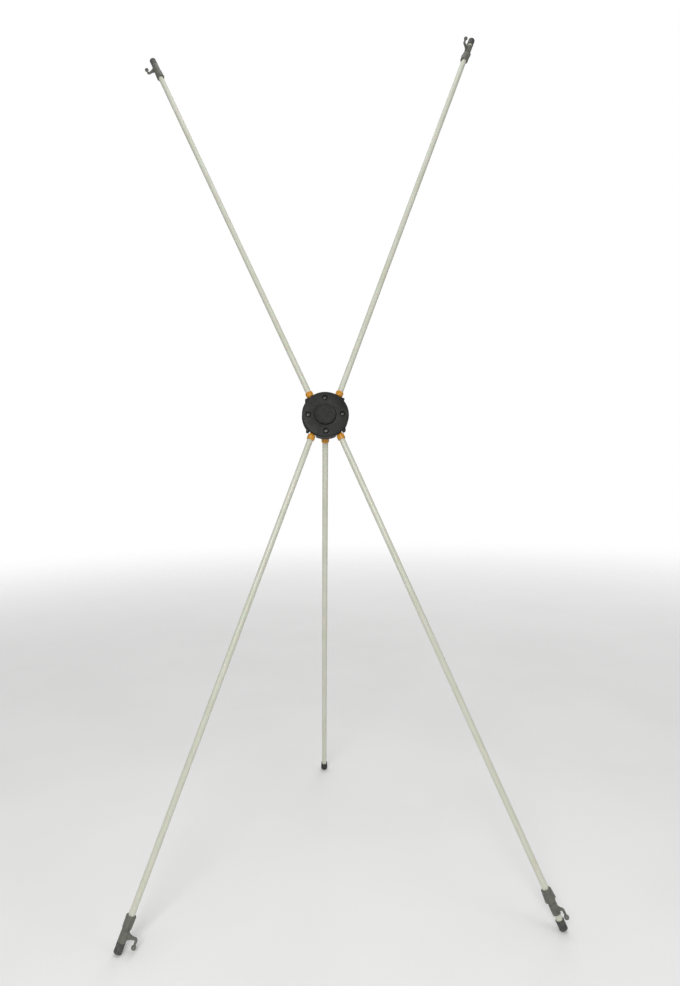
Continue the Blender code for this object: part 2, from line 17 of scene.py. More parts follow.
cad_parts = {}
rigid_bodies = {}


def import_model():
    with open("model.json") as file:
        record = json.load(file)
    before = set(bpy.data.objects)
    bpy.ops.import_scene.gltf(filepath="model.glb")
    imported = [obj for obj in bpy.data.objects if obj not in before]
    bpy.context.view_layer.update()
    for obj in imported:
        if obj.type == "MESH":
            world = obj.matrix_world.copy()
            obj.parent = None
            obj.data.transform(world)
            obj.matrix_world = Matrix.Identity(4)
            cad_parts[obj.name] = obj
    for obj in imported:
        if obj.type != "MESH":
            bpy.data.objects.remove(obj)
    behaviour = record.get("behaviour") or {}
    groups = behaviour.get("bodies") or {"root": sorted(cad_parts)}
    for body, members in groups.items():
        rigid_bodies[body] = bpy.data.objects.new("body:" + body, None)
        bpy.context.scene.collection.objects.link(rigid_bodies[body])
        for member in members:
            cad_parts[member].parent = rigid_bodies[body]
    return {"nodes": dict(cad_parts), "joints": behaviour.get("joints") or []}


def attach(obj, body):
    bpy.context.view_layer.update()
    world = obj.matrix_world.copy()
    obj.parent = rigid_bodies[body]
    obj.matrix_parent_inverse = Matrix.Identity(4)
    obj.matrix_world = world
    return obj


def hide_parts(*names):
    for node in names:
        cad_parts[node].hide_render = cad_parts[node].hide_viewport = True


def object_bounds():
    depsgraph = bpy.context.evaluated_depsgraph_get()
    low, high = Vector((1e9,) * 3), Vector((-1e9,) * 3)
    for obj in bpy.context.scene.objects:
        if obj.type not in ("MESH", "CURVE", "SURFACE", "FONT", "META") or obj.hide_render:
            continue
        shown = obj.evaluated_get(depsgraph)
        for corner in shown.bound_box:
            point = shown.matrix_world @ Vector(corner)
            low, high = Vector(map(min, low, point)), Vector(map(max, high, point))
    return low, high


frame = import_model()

CAD_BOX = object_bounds()

TIP_POLES = ("arm_left", "arm_right", "leg_left", "leg_right")
POLES = TIP_POLES + ("rear_leg",)
SCREWS = ("top", "right", "bottom", "left")
JOINTS = {joint["name"]: joint for joint in frame["joints"]}

FIT = 0.0003  # clearance between two pieces that touch
OVERCUT = 0.0015  # how far a cutter runs past the face that it opens
DISC_STEPS = 128
DISC_TURN = 0.37  # of a step, so that no edge of a disc runs through a corner of a cutter
DISC_INNER_RING = 0.0100  # the flat faces of a disc end in one polygon of this radius
DISC_OUTER_RING = 0.0235
SMOOTH_STEPS = 64
ROUND_STEPS = 48
FINE_STEPS = 32
SOFT_STEPS = 4  # points round a softened corner
CREASE = radians(38)

# Hub shells
SHELL_EDGE = 0.0018
SPLIT_EDGE = 0.0004
FACE_GROOVE_WIDTH = 0.0011
FACE_GROOVE_DEPTH = 0.0005
COUNTERBORE_DEPTH = 0.0034
COUNTERBORE_ROOM = 0.0011
COUNTERBORE_CHAMFER = 0.0004
POCKET_RADIUS = 0.0190
POCKET_WALL = 0.0028
CHEEK_REACH = 0.0090
EAR_WALL = 0.0006
EAR_ROUNDING = 0.0012
CLEVIS_WALL = 0.0050
CLEVIS_RADIUS = 0.0065
CLEVIS_EDGE = 0.0007
CLEVIS_ROOT_FLARE = 0.0016
CLEVIS_SINK = 0.0012  # how far a cheek starts inside the shell
CLEVIS_STEPS = 16
CLEVIS_STAND_OFF = 0.0007  # from the rear leg's eye to the shell's back
RIB_HEIGHT = 0.0008
RIB_WIDTH = 0.0013
RIB_CENTRE_RADIUS = 0.0095
RIB_RIM_RADIUS = 0.0345
RIB_TURNS = (60, 120, 180, 240, 300, 0)  # degrees, all clear of the rear leg's eye at 270

# Centre cap
CAP_EDGE = 0.0009
CAP_DISH = 0.00025
CAP_DISH_RADIUS = 0.0150
SPIGOT_RADIUS = 0.0060

# Screws
SHANK_RADIUS = 0.0015
THREAD_DEPTH = 0.00025
THREAD_PITCH = 0.0007
THREAD_STEPS = 6  # rings for each turn of the thread
POINT_SHARE = 0.35  # the point's radius as a share of the shank's
HEAD_HEIGHT = 0.0022
CROSS_WIDTH = 0.0009
CROSS_SPAN = 0.0038
CROSS_DEPTH = 0.0012
CROSS_FLOOR_SPAN = 0.45  # share of the span at the bottom of the recess
CROSS_FLOOR_WIDTH = 0.80
CROSS_TURN = 0.6  # radians from one screw to the next, as driven by hand

# Knuckles
EYE_EDGE = 0.0009
NECK_WAIST = 0.0045
NECK_RADIUS = 0.0049
NECK_SLOPE = 0.0022
BEAD_LENGTH = 0.0088
BEAD_EDGE = 0.0022
BEAD_FLUTES = 8
BEAD_FLUTE_DEPTH = 0.00030
SOCKET_DEPTH = 0.0065

# Poles
POLE_WALL = 0.0014
POLE_EDGE = 0.0003

# Tip fittings
TIP_INSET = 0.0002
COLLAR_NECK = 0.0032
COLLAR_EDGE = 0.0010
COLLAR_TAPER = 0.0004
WING_WIDTH = 0.0050
WING_START = 0.0020
WING_PROUD_AT_ENTRY = 0.0002
WING_RINGS = 30
WING_RIDGES = 6
WING_RIDGE_HEIGHT = 0.00018
WING_CORNER = 0.0009
WING_SQUARENESS = 5
SLEEVE_EDGE = 0.0004
SLEEVE_BAND = 0.0022
SLEEVE_BAND_DEPTH = 0.0002
STRUT_WIDTH = 0.0044
STRUT_ROOT_HEIGHT = 0.0124
STRUT_TIP_HEIGHT = 0.0043
STRUT_MIDDLE = 0.0066  # from the sleeve's start to the middle of the strut
STRUT_DROP = 0.0003  # how far the strut leans back on its way out
STRUT_FLARE_WIDTH = 0.0006
STRUT_FLARE_POWER = 2.6
STRUT_SQUARENESS = 3.2
CORNER_SQUARENESS = 2.6
ROUND = 2
STRUT_RINGS = 12
HOOK_RINGS = 8
BALL_RINGS = 15
HOOK_CORNER = 0.0023
HOOK_ARM_RADIUS = 0.0020
HOOK_WAIST_RADIUS = 0.0016
BALL_RADIUS = 0.0037
BALL_INSET = 0.0001
CAP_TIP_EDGE = 0.0018
CAP_LIP = 0.0012
CAP_LIP_HEIGHT = 0.00025
CAP_TIP_WALL = 0.0025
CAP_GROOVE_DEPTH = 0.0003
CAP_GROOVE_PLACE = 0.0052
CAP_GATE_RADIUS = 0.0014
CAP_GATE_DEPTH = 0.0005

# Rear foot
FOOT_EDGE = 0.0036
FOOT_WALL = 0.0036
FOOT_TIP_INSET = 0.0005
FOOT_TOP_RADIUS = 0.0063
FOOT_RINGS = 2
FOOT_RING_DEPTH = 0.0004
FOOT_RING_START = 0.0008
FOOT_RING_PITCH = 0.0022
FOOT_DISH_RADIUS = 0.0024
FOOT_DISH_DEPTH = 0.0008
FOOT_LIP_HEIGHT = 0.0003


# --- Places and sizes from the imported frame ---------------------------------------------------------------


def frame_at(origin, x_axis, z_axis):
    """A frame with its origin there, Z along z_axis and X as near to x_axis as that allows."""
    z = Vector(z_axis).normalized()
    y = z.cross(Vector(x_axis)).normalized()
    pose = Matrix((y.cross(z), y, z)).transposed().to_4x4()
    pose.translation = Vector(origin)
    return pose


def node_points(node):
    vertices = frame["nodes"][node].data.vertices
    points = np.empty(len(vertices) * 3, np.float32)
    vertices.foreach_get("co", points)
    return points.reshape(-1, 3).astype(float)


def points_in(node, pose):
    """The node's points in a frame of its own."""
    inverse = np.array(pose.inverted())
    return node_points(node) @ inverse[:3, :3].T + inverse[:3, 3]


def measure(node, pose, below=None):
    """Lowest and highest corner of the node in a frame, of its points under a height if one is given."""
    points = points_in(node, pose)
    if below is not None:
        points = points[points[:, 2] < below]
    return Vector(points.min(0)), Vector(points.max(0))


def pin_middle(pole):
    return Vector(JOINTS[f"{pole}_fold"]["pos_m"])


def disc_frame():
    """The hub's frame, from the pins' middle: X to the right, Y up in the disc's plane, Z out of its face."""
    arms = (pin_middle("arm_left") + pin_middle("arm_right")) / 2
    legs = (pin_middle("leg_left") + pin_middle("leg_right")) / 2
    right = pin_middle("arm_right") - pin_middle("arm_left")
    return frame_at((arms + legs) / 2, right, right.cross(arms - legs))


def pole_frame(pole):
    """A pole's frame: the origin on its pin, X along the pin and Z along the pole to its tip."""
    pin_axis = -Vector(JOINTS[f"{pole}_fold"]["axis"])
    if pole in TIP_POLES:
        along = Vector(JOINTS[f"{pole}_slide"]["axis"])
    else:
        points = node_points(f"{pole}_pole")
        along = Vector(np.linalg.svd(points - points.mean(0), full_matrices=False)[2][0])
        if along.dot(Vector(points.mean(0)) - pin_middle(pole)) < 0:
            along = -along
    return frame_at(pin_middle(pole), pin_axis, along)


def seat_frame(pole):
    """The pin's frame while the pole lies in the disc's plane, told in the disc's frame; Y is to the back."""
    pin_axis = -Vector(JOINTS[f"{pole}_fold"]["axis"])
    back = -DISC.to_3x3().col[2]
    return DISC.inverted() @ frame_at(pin_middle(pole), pin_axis, pin_axis.cross(back))


def slider_frame(pole):
    """The hook's frame: the origin at the collar's mouth, Z along the pole to its tip, X towards the hook."""
    pose = pole_frame(pole)
    points = points_in(f"{pole}_hook_sleeve", pose)
    radial = np.hypot(points[:, 0], points[:, 1])
    hook = points[radial > radial.max() / 2].mean(0)
    mouth = measure(f"{pole}_grip_collar", pose)[0].z
    return pose @ Matrix.Translation((0, 0, mouth)) @ frame_at((0, 0, 0), (hook[0], hook[1], 0), (0, 0, 1))


DISC = disc_frame()
AT_ORIGIN = Matrix.Identity(4)
ALONG_X = Matrix.Rotation(pi / 2, 4, "Y")
X_WAY = Vector((1, 0, 0))
Y_WAY = Vector((0, 1, 0))
Z_WAY = Vector((0, 0, 1))


# --- Mesh making ------------------------------------------------------------------------------------------


def mesh_from(name, shape):
    mesh = bpy.data.meshes.new(name)
    shape.to_mesh(mesh)
    shape.free()
    return mesh


def skin(name, rings, looped=False):
    """A mesh over a row of rings with equal counts of points; a ring of one point closes to it."""
    shape = bmesh.new()
    rows = [[shape.verts.new(point) for point in ring] for ring in rings]
    steps = max(len(row) for row in rows)
    pairs = list(zip(rows, rows[1:]))
    if looped:
        pairs.append((rows[-1], rows[0]))
    for upper, lower in pairs:
        for i in range(steps):
            here, there = i % len(upper), i % len(lower)
            next_here, next_there = (i + 1) % len(upper), (i + 1) % len(lower)
            corners = [upper[here], lower[there], lower[next_there], upper[next_here]]
            shape.faces.new(list(dict.fromkeys(corners)))
    for end in () if looped else (rows[0], rows[-1]):
        if len(end) > 1:
            shape.faces.new(end)
    bmesh.ops.recalc_face_normals(shape, faces=shape.faces)
    return mesh_from(name, shape)


def softened(corners, looped=False):
    """The outline through (radius, height, rounding) corners, with a curve of about that radius at each."""
    count = len(corners)
    outline = []
    for index, (radius, height, rounding) in enumerate(corners):
        here = Vector((radius, height))
        if rounding == 0 or (not looped and index in (0, count - 1)):
            outline.append(here)
            continue
        before = Vector(corners[index - 1][:2]) - here
        after = Vector(corners[(index + 1) % count][:2]) - here
        reach = rounding / tan(before.angle(after) / 2)
        start = here + before.normalized() * min(reach, before.length / 2)
        end = here + after.normalized() * min(reach, after.length / 2)
        for step in range(SOFT_STEPS + 1):
            t = step / SOFT_STEPS
            outline.append(start * (1 - t) ** 2 + here * 2 * t * (1 - t) + end * t * t)
    return outline


def turned(name, corners, steps=ROUND_STEPS, looped=False, swell=None, turn=0.0):
    """A piece turned about Z. swell(angle, height, radius) adds to the radius; turn is in steps round."""
    rings = []
    for radius, height in softened(corners, looped):
        if radius == 0:
            rings.append([(0, 0, height)])
            continue
        angles = [2 * pi * (i + turn) / steps for i in range(steps)]
        radii = [radius + (swell(angle, height, radius) if swell else 0) for angle in angles]
        rings.append([(r * cos(a), r * sin(a), height) for r, a in zip(radii, angles)])
    return skin(name, rings, looped)


def rod(name, radius, low, high, steps=FINE_STEPS):
    return turned(name, [(0, high, 0), (radius, high, 0), (radius, low, 0), (0, low, 0)], steps)


def countersunk_rod(name, radius, low, face, chamfer, steps=FINE_STEPS):
    """A cutter for a hole whose mouth is chamfered at that face."""
    mouth = radius + chamfer + OVERCUT
    top = face + OVERCUT
    corners = [(0, top, 0), (mouth, top, 0), (radius, face - chamfer, 0), (radius, low, 0), (0, low, 0)]
    return turned(name, corners, steps)


def rounded_box(name, low, high, rounding):
    shape = bmesh.new()
    bmesh.ops.create_cube(shape, size=1.0)
    size = Vector(high) - Vector(low)
    bmesh.ops.scale(shape, vec=size, verts=shape.verts)
    bmesh.ops.translate(shape, vec=Vector(low) + size / 2, verts=shape.verts)
    if rounding:
        edges = list(shape.edges)
        bmesh.ops.bevel(shape, geom=edges, offset=rounding, segments=3, profile=0.5, affect="EDGES")
    return mesh_from(name, shape)


def oblong_ring(middle, across, along, half_across, half_along, power, steps):
    """Points of a ring between an ellipse (power 2) and a rectangle (a high power)."""
    points = []
    for i in range(steps):
        c = cos(2 * pi * i / steps)
        s = sin(2 * pi * i / steps)
        u = abs(c) ** (2 / power) * (1 if c >= 0 else -1)
        v = abs(s) ** (2 / power) * (1 if s >= 0 else -1)
        points.append(middle + across * (u * half_across) + along * (v * half_along))
    return points


def combined(name, base, steps):
    """The base mesh after its (operation, mesh, pose) steps; each run of one operation is one Boolean."""
    scene = bpy.context.scene
    body = bpy.data.objects.new(name, base)
    scene.collection.objects.link(body)
    groups = []
    for operation, run in groupby(steps, key=lambda step: step[0]):
        group = bpy.data.collections.new(f"{name}_{len(groups)}")
        scene.collection.children.link(group)
        groups.append(group)
        for _, mesh, pose in run:
            other = bpy.data.objects.new(mesh.name, mesh)
            other.matrix_world = pose
            group.objects.link(other)
        change = body.modifiers.new(group.name, "BOOLEAN")
        change.operation = operation
        change.solver = "EXACT"
        change.operand_type = "COLLECTION"
        change.collection = group
    bpy.context.view_layer.update()
    made = bpy.data.meshes.new_from_object(body.evaluated_get(bpy.context.evaluated_depsgraph_get()))
    made.name = name
    bpy.data.objects.remove(body)
    for group in groups:
        for other in list(group.objects):
            bpy.data.objects.remove(other)
        bpy.data.collections.remove(group)
    return made


def add_piece(name, mesh, pose, body, slot, finish, *nodes):
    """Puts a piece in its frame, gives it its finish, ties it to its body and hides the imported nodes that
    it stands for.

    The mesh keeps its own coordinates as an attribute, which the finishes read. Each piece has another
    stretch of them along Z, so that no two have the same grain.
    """
    points = np.empty((len(mesh.vertices), 3), np.float32)
    mesh.vertices.foreach_get("co", points.ravel())
    points[:, 2] += GRAIN_SHIFT * len(PLACED)
    own = mesh.attributes.new("own_place", "FLOAT_VECTOR", "POINT")
    own.data.foreach_set("vector", points.ravel())
    mesh.transform(pose)
    mesh.materials.clear()
    mesh.materials.append(finish)
    mesh.shade_smooth()
    mesh.set_sharp_from_angle(angle=CREASE)
    piece = bpy.data.objects.new(name, mesh)
    bpy.context.scene.collection.objects.link(piece)
    PLACED.append(piece)
    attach(piece, body)
    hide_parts(*nodes)
    return piece


PLACED = []
GRAIN_SHIFT = 1.37


# --- Finishes ---------------------------------------------------------------------------------------------


BEVEL_SAMPLES = 6
NOISE_SPAN = (0.3, 0.7)  # where nearly all of a noise's values lie


def shader_group(name, inputs, outputs):
    """A new group with its named sockets: inputs are (name, kind, default) and outputs (name, kind)."""
    group = bpy.data.node_groups.new(name, "ShaderNodeTree")
    for label, kind, default in inputs:
        socket = group.interface.new_socket(name=label, in_out="INPUT", socket_type=f"NodeSocket{kind}")
        socket.default_value = default
    for label, kind in outputs:
        group.interface.new_socket(name=label, in_out="OUTPUT", socket_type=f"NodeSocket{kind}")
    return group


def add_node(tree, kind, settings=None, **inputs):
    """Adds a node. An input, named by its label or as i and its number, is a value or a socket to link."""
    node = tree.nodes.new(kind)
    for key, value in (settings or {}).items():
        setattr(node, key, value)
    for key, value in inputs.items():
        socket = node.inputs[int(key[1:]) if key[1:].isdigit() else key.replace("_", " ")]
        if isinstance(value, bpy.types.NodeSocket):
            tree.links.new(value, socket)
        else:
            socket.default_value = value
    return node


def arithmetic(tree, operation, first, second=0.0, clamp=False):
    settings = {"operation": operation, "use_clamp": clamp}
    return add_node(tree, "ShaderNodeMath", settings, i0=first, i1=second).outputs[0]


def mixed(tree, share, first, second):
    """The first colour turned into the second by that share."""
    return add_node(tree, "ShaderNodeMix", {"data_type": "RGBA"}, i0=share, i6=first, i7=second).outputs[2]


def spread(tree, value, low, high, start=0.0, end=1.0):
    """A value from start to end spread from low to high."""
    given = {"Value": value, "From_Min": start, "From_Max": end, "To_Min": low, "To_Max": high}
    return add_node(tree, "ShaderNodeMapRange", None, **given).outputs[0]


def band(tree, value, start, end):
    """0 under start, 1 over end, and smooth between."""
    settings = {"interpolation_type": "SMOOTHSTEP"}
    node = add_node(tree, "ShaderNodeMapRange", settings, Value=value, From_Min=start, From_Max=end)
    return node.outputs[0]


def noise(tree, place, scale, detail=3.0, stretch=None):
    if stretch:
        place = add_node(tree, "ShaderNodeMapping", None, Vector=place, Scale=stretch).outputs[0]
    node = add_node(tree, "ShaderNodeTexNoise", None, Vector=place, Scale=scale, Detail=detail)
    return node.outputs["Fac"]


def own_place(tree):
    return add_node(tree, "ShaderNodeAttribute", {"attribute_name": "own_place"}).outputs["Vector"]


def softer_normal(tree, radius):
    """The surface's normal with its edges rounded by that radius."""
    return add_node(tree, "ShaderNodeBevel", {"samples": BEVEL_SAMPLES}, Radius=radius).outputs[0]


def relief(tree, height, depth, base=None):
    """The normal of a surface with that height pattern, over another normal if one is given."""
    bump = add_node(tree, "ShaderNodeBump", None, Distance=depth, Height=height)
    if base:
        tree.links.new(base, bump.inputs["Normal"])
    return bump.outputs[0]


def make_edge_group():
    """A mask of the piece's worn outer edges, broken up by noise."""
    group = shader_group(
        "edge_wear",
        [("Width", "Float", 0.0006), ("Amount", "Float", 0.5), ("Breakup Scale", "Float", 400.0)],
        [("Mask", "Float")],
    )
    given = group.nodes.new("NodeGroupInput").outputs
    wide = softer_normal(group, given["Width"])
    plain = add_node(group, "ShaderNodeNewGeometry").outputs["Normal"]
    match = add_node(group, "ShaderNodeVectorMath", {"operation": "DOT_PRODUCT"}, i0=wide, i1=plain)
    turned_away = arithmetic(group, "SUBTRACT", 1.0, match.outputs["Value"])
    edge = band(group, turned_away, 0.02, 0.22)
    breakup = band(group, noise(group, own_place(group), given["Breakup Scale"]), 0.38, 0.66)
    broken = arithmetic(group, "MULTIPLY", edge, breakup)
    worn = arithmetic(group, "MULTIPLY", broken, given["Amount"])
    add_node(group, "NodeGroupOutput", None, Mask=worn)
    return group


def make_moulded_group():
    """Moulded plastic or rubber: mottled colour, worn edges, dust, uneven gloss and a fine grain."""
    group = shader_group(
        "moulded_skin",
        [
            ("Colour", "Color", (0.1, 0.1, 0.1, 1.0)),
            ("Mottle Colour", "Color", (0.15, 0.15, 0.15, 1.0)),
            ("Wear Colour", "Color", (0.3, 0.3, 0.3, 1.0)),
            ("Dust Colour", "Color", (0.4, 0.39, 0.36, 1.0)),
            ("Mottle Scale", "Float", 90.0),
            ("Wear", "Float", 0.4),
            ("Dust", "Float", 0.1),
            ("Roughness Low", "Float", 0.4),
            ("Roughness High", "Float", 0.55),
            ("Grain Scale", "Float", 2600.0),
            ("Grain Depth", "Float", 0.00002),
        ],
        [("Colour", "Color"), ("Roughness", "Float"), ("Normal", "Vector")],
    )
    given = group.nodes.new("NodeGroupInput").outputs
    place = own_place(group)
    patches = noise(group, place, given["Mottle Scale"], 4.0)
    colour = mixed(group, band(group, patches, 0.35, 0.68), given["Colour"], given["Mottle Colour"])
    specks = band(group, noise(group, place, 1500.0, 2.0), 0.60, 0.74)
    drift = band(group, noise(group, place, 45.0, 3.0), 0.40, 0.75)
    dust = arithmetic(group, "MULTIPLY", arithmetic(group, "ADD", specks, drift, True), given["Dust"])
    colour = mixed(group, dust, colour, given["Dust Colour"])
    edges = add_node(group, "ShaderNodeGroup", {"node_tree": EDGE_WEAR}, Amount=given["Wear"])
    colour = mixed(group, edges.outputs["Mask"], colour, given["Wear Colour"])
    scuffs = noise(group, place, 260.0, 5.0)
    rough = spread(group, scuffs, given["Roughness Low"], given["Roughness High"], *NOISE_SPAN)
    grain = noise(group, place, given["Grain Scale"], 3.0)
    normal = relief(group, grain, given["Grain Depth"], softer_normal(group, FIT))
    add_node(group, "NodeGroupOutput", None, Colour=colour, Roughness=rough, Normal=normal)
    return group


def make_fibre_group():
    """Pulled glass fibre in resin: long pale strands, cloudy resin, faint rubs where the sliders run."""
    group = shader_group(
        "pulled_fibre",
        [
            ("Resin", "Color", (0.6, 0.6, 0.5, 1.0)),
            ("Strand", "Color", (0.75, 0.75, 0.68, 1.0)),
            ("Cloud", "Color", (0.5, 0.52, 0.42, 1.0)),
            ("Strand Scale", "Float", 2200.0),
            ("Groove Depth", "Float", 0.00003),
            ("Roughness Low", "Float", 0.25),
            ("Roughness High", "Float", 0.42),
        ],
        [("Colour", "Color"), ("Roughness", "Float"), ("Normal", "Vector")],
    )
    given = group.nodes.new("NodeGroupInput").outputs
    place = own_place(group)
    strands = noise(group, place, given["Strand Scale"], 3.0, (1.0, 1.0, 0.012))
    bundles = noise(group, place, 620.0, 2.0, (1.0, 1.0, 0.02))
    clouds = noise(group, place, 16.0, 3.0, (1.0, 1.0, 0.9))
    colour = mixed(group, band(group, strands, 0.38, 0.66), given["Resin"], given["Strand"])
    cloudy = arithmetic(group, "MULTIPLY", band(group, clouds, 0.42, 0.72), 0.55)
    colour = mixed(group, cloudy, colour, given["Cloud"])
    rubs = band(group, noise(group, place, 900.0, 2.0, (0.35, 0.35, 0.05)), 0.62, 0.72)
    colour = mixed(group, arithmetic(group, "MULTIPLY", rubs, 0.12), colour, (0.30, 0.30, 0.26, 1.0))
    rough = spread(group, bundles, given["Roughness Low"], given["Roughness High"], *NOISE_SPAN)
    height = arithmetic(group, "ADD", strands, arithmetic(group, "MULTIPLY", bundles, 1.6))
    normal = relief(group, height, given["Groove Depth"])
    add_node(group, "NodeGroupOutput", None, Colour=colour, Roughness=rough, Normal=normal)
    return group


def make_plated_group():
    """Plated steel: turning marks round the axis, dull patches, and rubbed bright edges."""
    group = shader_group(
        "plated_metal",
        [
            ("Colour", "Color", (0.6, 0.6, 0.6, 1.0)),
            ("Dull Colour", "Color", (0.4, 0.4, 0.4, 1.0)),
            ("Bright Colour", "Color", (0.8, 0.8, 0.8, 1.0)),
            ("Mark Depth", "Float", 0.00001),
            ("Roughness Low", "Float", 0.2),
            ("Roughness High", "Float", 0.4),
        ],
        [("Colour", "Color"), ("Roughness", "Float"), ("Normal", "Vector")],
    )
    given = group.nodes.new("NodeGroupInput").outputs
    place = own_place(group)
    dull = band(group, noise(group, place, 700.0, 4.0), 0.40, 0.66)
    colour = mixed(group, dull, given["Colour"], given["Dull Colour"])
    edges = add_node(group, "ShaderNodeGroup", {"node_tree": EDGE_WEAR}, Width=FIT, Amount=0.8)
    colour = mixed(group, edges.outputs["Mask"], colour, given["Bright Colour"])
    rough = spread(group, dull, given["Roughness Low"], given["Roughness High"])
    marks = add_node(
        group,
        "ShaderNodeTexWave",
        {"wave_type": "RINGS", "rings_direction": "Z"},
        Vector=place,
        Scale=1400.0,
        Distortion=1.5,
        Detail=2.0,
    )
    normal = relief(group, marks.outputs["Fac"], given["Mark Depth"], softer_normal(group, FIT / 2))
    add_node(group, "NodeGroupOutput", None, Colour=colour, Roughness=rough, Normal=normal)
    return group


def finish_from(name, group, look, **shader_values):
    """A material whose colour, roughness and normal come from a group; its constants are on the shader."""
    made = bpy.data.materials.new(name)
    made.use_nodes = True
    tree = made.node_tree
    shader = tree.nodes["Principled BSDF"]
    skin_node = tree.nodes.new("ShaderNodeGroup")
    skin_node.node_tree = group
    for label, value in look.items():
        skin_node.inputs[label].default_value = (*value, 1.0) if isinstance(value, tuple) else value
    tree.links.new(skin_node.outputs["Colour"], shader.inputs["Base Color"])
    tree.links.new(skin_node.outputs["Roughness"], shader.inputs["Roughness"])
    tree.links.new(skin_node.outputs["Normal"], shader.inputs["Normal"])
    for label, value in shader_values.items():
        shader.inputs[label.replace("_", " ")].default_value = value
    return made


def moulded_finish(name, colours, mottle_scale, wear, dust, roughness, grain, **shader_values):
    """A finish on MOULDED_SKIN: colours are base, mottle, wear and dust; grain is its scale and depth."""
    look = dict(zip(("Colour", "Mottle Colour", "Wear Colour", "Dust Colour"), colours))
    look.update({"Mottle Scale": mottle_scale, "Wear": wear, "Dust": dust})
    look.update(zip(("Roughness Low", "Roughness High", "Grain Scale", "Grain Depth"), roughness + grain))
    return finish_from(name, MOULDED_SKIN, look, **shader_values)


EDGE_WEAR = make_edge_group()
MOULDED_SKIN = make_moulded_group()
PULLED_FIBRE = make_fibre_group()
PLATED_METAL = make_plated_group()

HUB_PLASTIC = moulded_finish(
    "hub_plastic",
    colours=((0.0075, 0.0075, 0.0070), (0.012, 0.012, 0.011), (0.050, 0.050, 0.047), (0.15, 0.145, 0.13)),
    mottle_scale=60.0,
    wear=0.35,
    dust=0.04,
    roughness=(0.38, 0.52),
    grain=(3200.0, 0.00003),
    IOR=1.46,
    Specular_IOR_Level=0.27,
)
AMBER_NYLON = moulded_finish(
    "amber_nylon",
    colours=((0.68, 0.310, 0.014), (0.56, 0.225, 0.008), (0.84, 0.50, 0.10), (0.55, 0.38, 0.18)),
    mottle_scale=160.0,
    wear=0.45,
    dust=0.06,
    roughness=(0.24, 0.38),
    grain=(1800.0, 0.00001),
    Subsurface_Weight=0.12,
    Subsurface_Scale=0.002,
    IOR=1.53,
)
SLIDER_PLASTIC = moulded_finish(
    "slider_plastic",
    colours=((0.108, 0.113, 0.092), (0.145, 0.150, 0.125), (0.26, 0.26, 0.23), (0.34, 0.34, 0.30)),
    mottle_scale=110.0,
    wear=0.45,
    dust=0.10,
    roughness=(0.36, 0.52),
    grain=(2400.0, 0.00003),
    IOR=1.5,
)
CAP_VINYL = moulded_finish(
    "cap_vinyl",
    colours=((0.040, 0.041, 0.037), (0.075, 0.077, 0.070), (0.15, 0.15, 0.14), (0.30, 0.30, 0.27)),
    mottle_scale=220.0,
    wear=0.30,
    dust=0.14,
    roughness=(0.48, 0.66),
    grain=(1500.0, 0.00005),
    IOR=1.52,
)
FOOT_RUBBER = moulded_finish(
    "foot_rubber",
    colours=((0.016, 0.016, 0.016), (0.026, 0.026, 0.025), (0.06, 0.06, 0.058), (0.26, 0.25, 0.23)),
    mottle_scale=180.0,
    wear=0.25,
    dust=0.10,
    roughness=(0.62, 0.80),
    grain=(1300.0, 0.00006),
    IOR=1.5,
)
GLASS_FIBRE = finish_from(
    "glass_fibre",
    PULLED_FIBRE,
    {
        "Resin": (0.60, 0.61, 0.50),
        "Strand": (0.70, 0.71, 0.62),
        "Cloud": (0.56, 0.58, 0.44),
        "Strand Scale": 2600.0,
        "Groove Depth": 0.00004,
        "Roughness Low": 0.26,
        "Roughness High": 0.40,
    },
    Subsurface_Weight=0.10,
    Subsurface_Scale=0.002,
    IOR=1.54,
)
SCREW_PLATE = finish_from(
    "screw_plate",
    PLATED_METAL,
    {
        "Colour": (0.085, 0.085, 0.083),
        "Dull Colour": (0.045, 0.045, 0.044),
        "Bright Colour": (0.26, 0.26, 0.25),
        "Mark Depth": 0.00001,
        "Roughness Low": 0.34,
        "Roughness High": 0.50,
    },
    Metallic=1.0,
)
PIN_STEEL = finish_from(
    "pin_steel",
    PLATED_METAL,
    {
        "Colour": (0.56, 0.56, 0.55),
        "Dull Colour": (0.38, 0.38, 0.37),
        "Bright Colour": (0.75, 0.75, 0.74),
        "Mark Depth": 0.00001,
        "Roughness Low": 0.26,
        "Roughness High": 0.44,
    },
    Metallic=1.0,
)


# --- Hub --------------------------------------------------------------------------------------------------


def pin_size():
    """Half length and radius of the hinge pins."""
    high = measure("arm_left_hinge_pin", DISC @ seat_frame("arm_left"))[1]
    return high.x, high.z


def eye_size():
    """Half width and radius of the knuckles' eyes."""
    low, high = measure("arm_left_knuckle", pole_frame("arm_left"), below=0)
    return high.x, -low.z


PIN_HALF, PIN_RADIUS = pin_size()
EYE_HALF, EYE_RADIUS = eye_size()
POLE_RADIUS = measure("arm_left_pole", pole_frame("arm_left"))[1].x
BEAD_RADIUS = measure("arm_left_knuckle", pole_frame("arm_left"))[1].x
BORE_RADIUS = POLE_RADIUS + FIT


def outward(seat):
    """Which way along a pin leads away from the disc's middle."""
    return 1 if seat.translation.dot(seat.to_3x3().col[0]) > 0 else -1


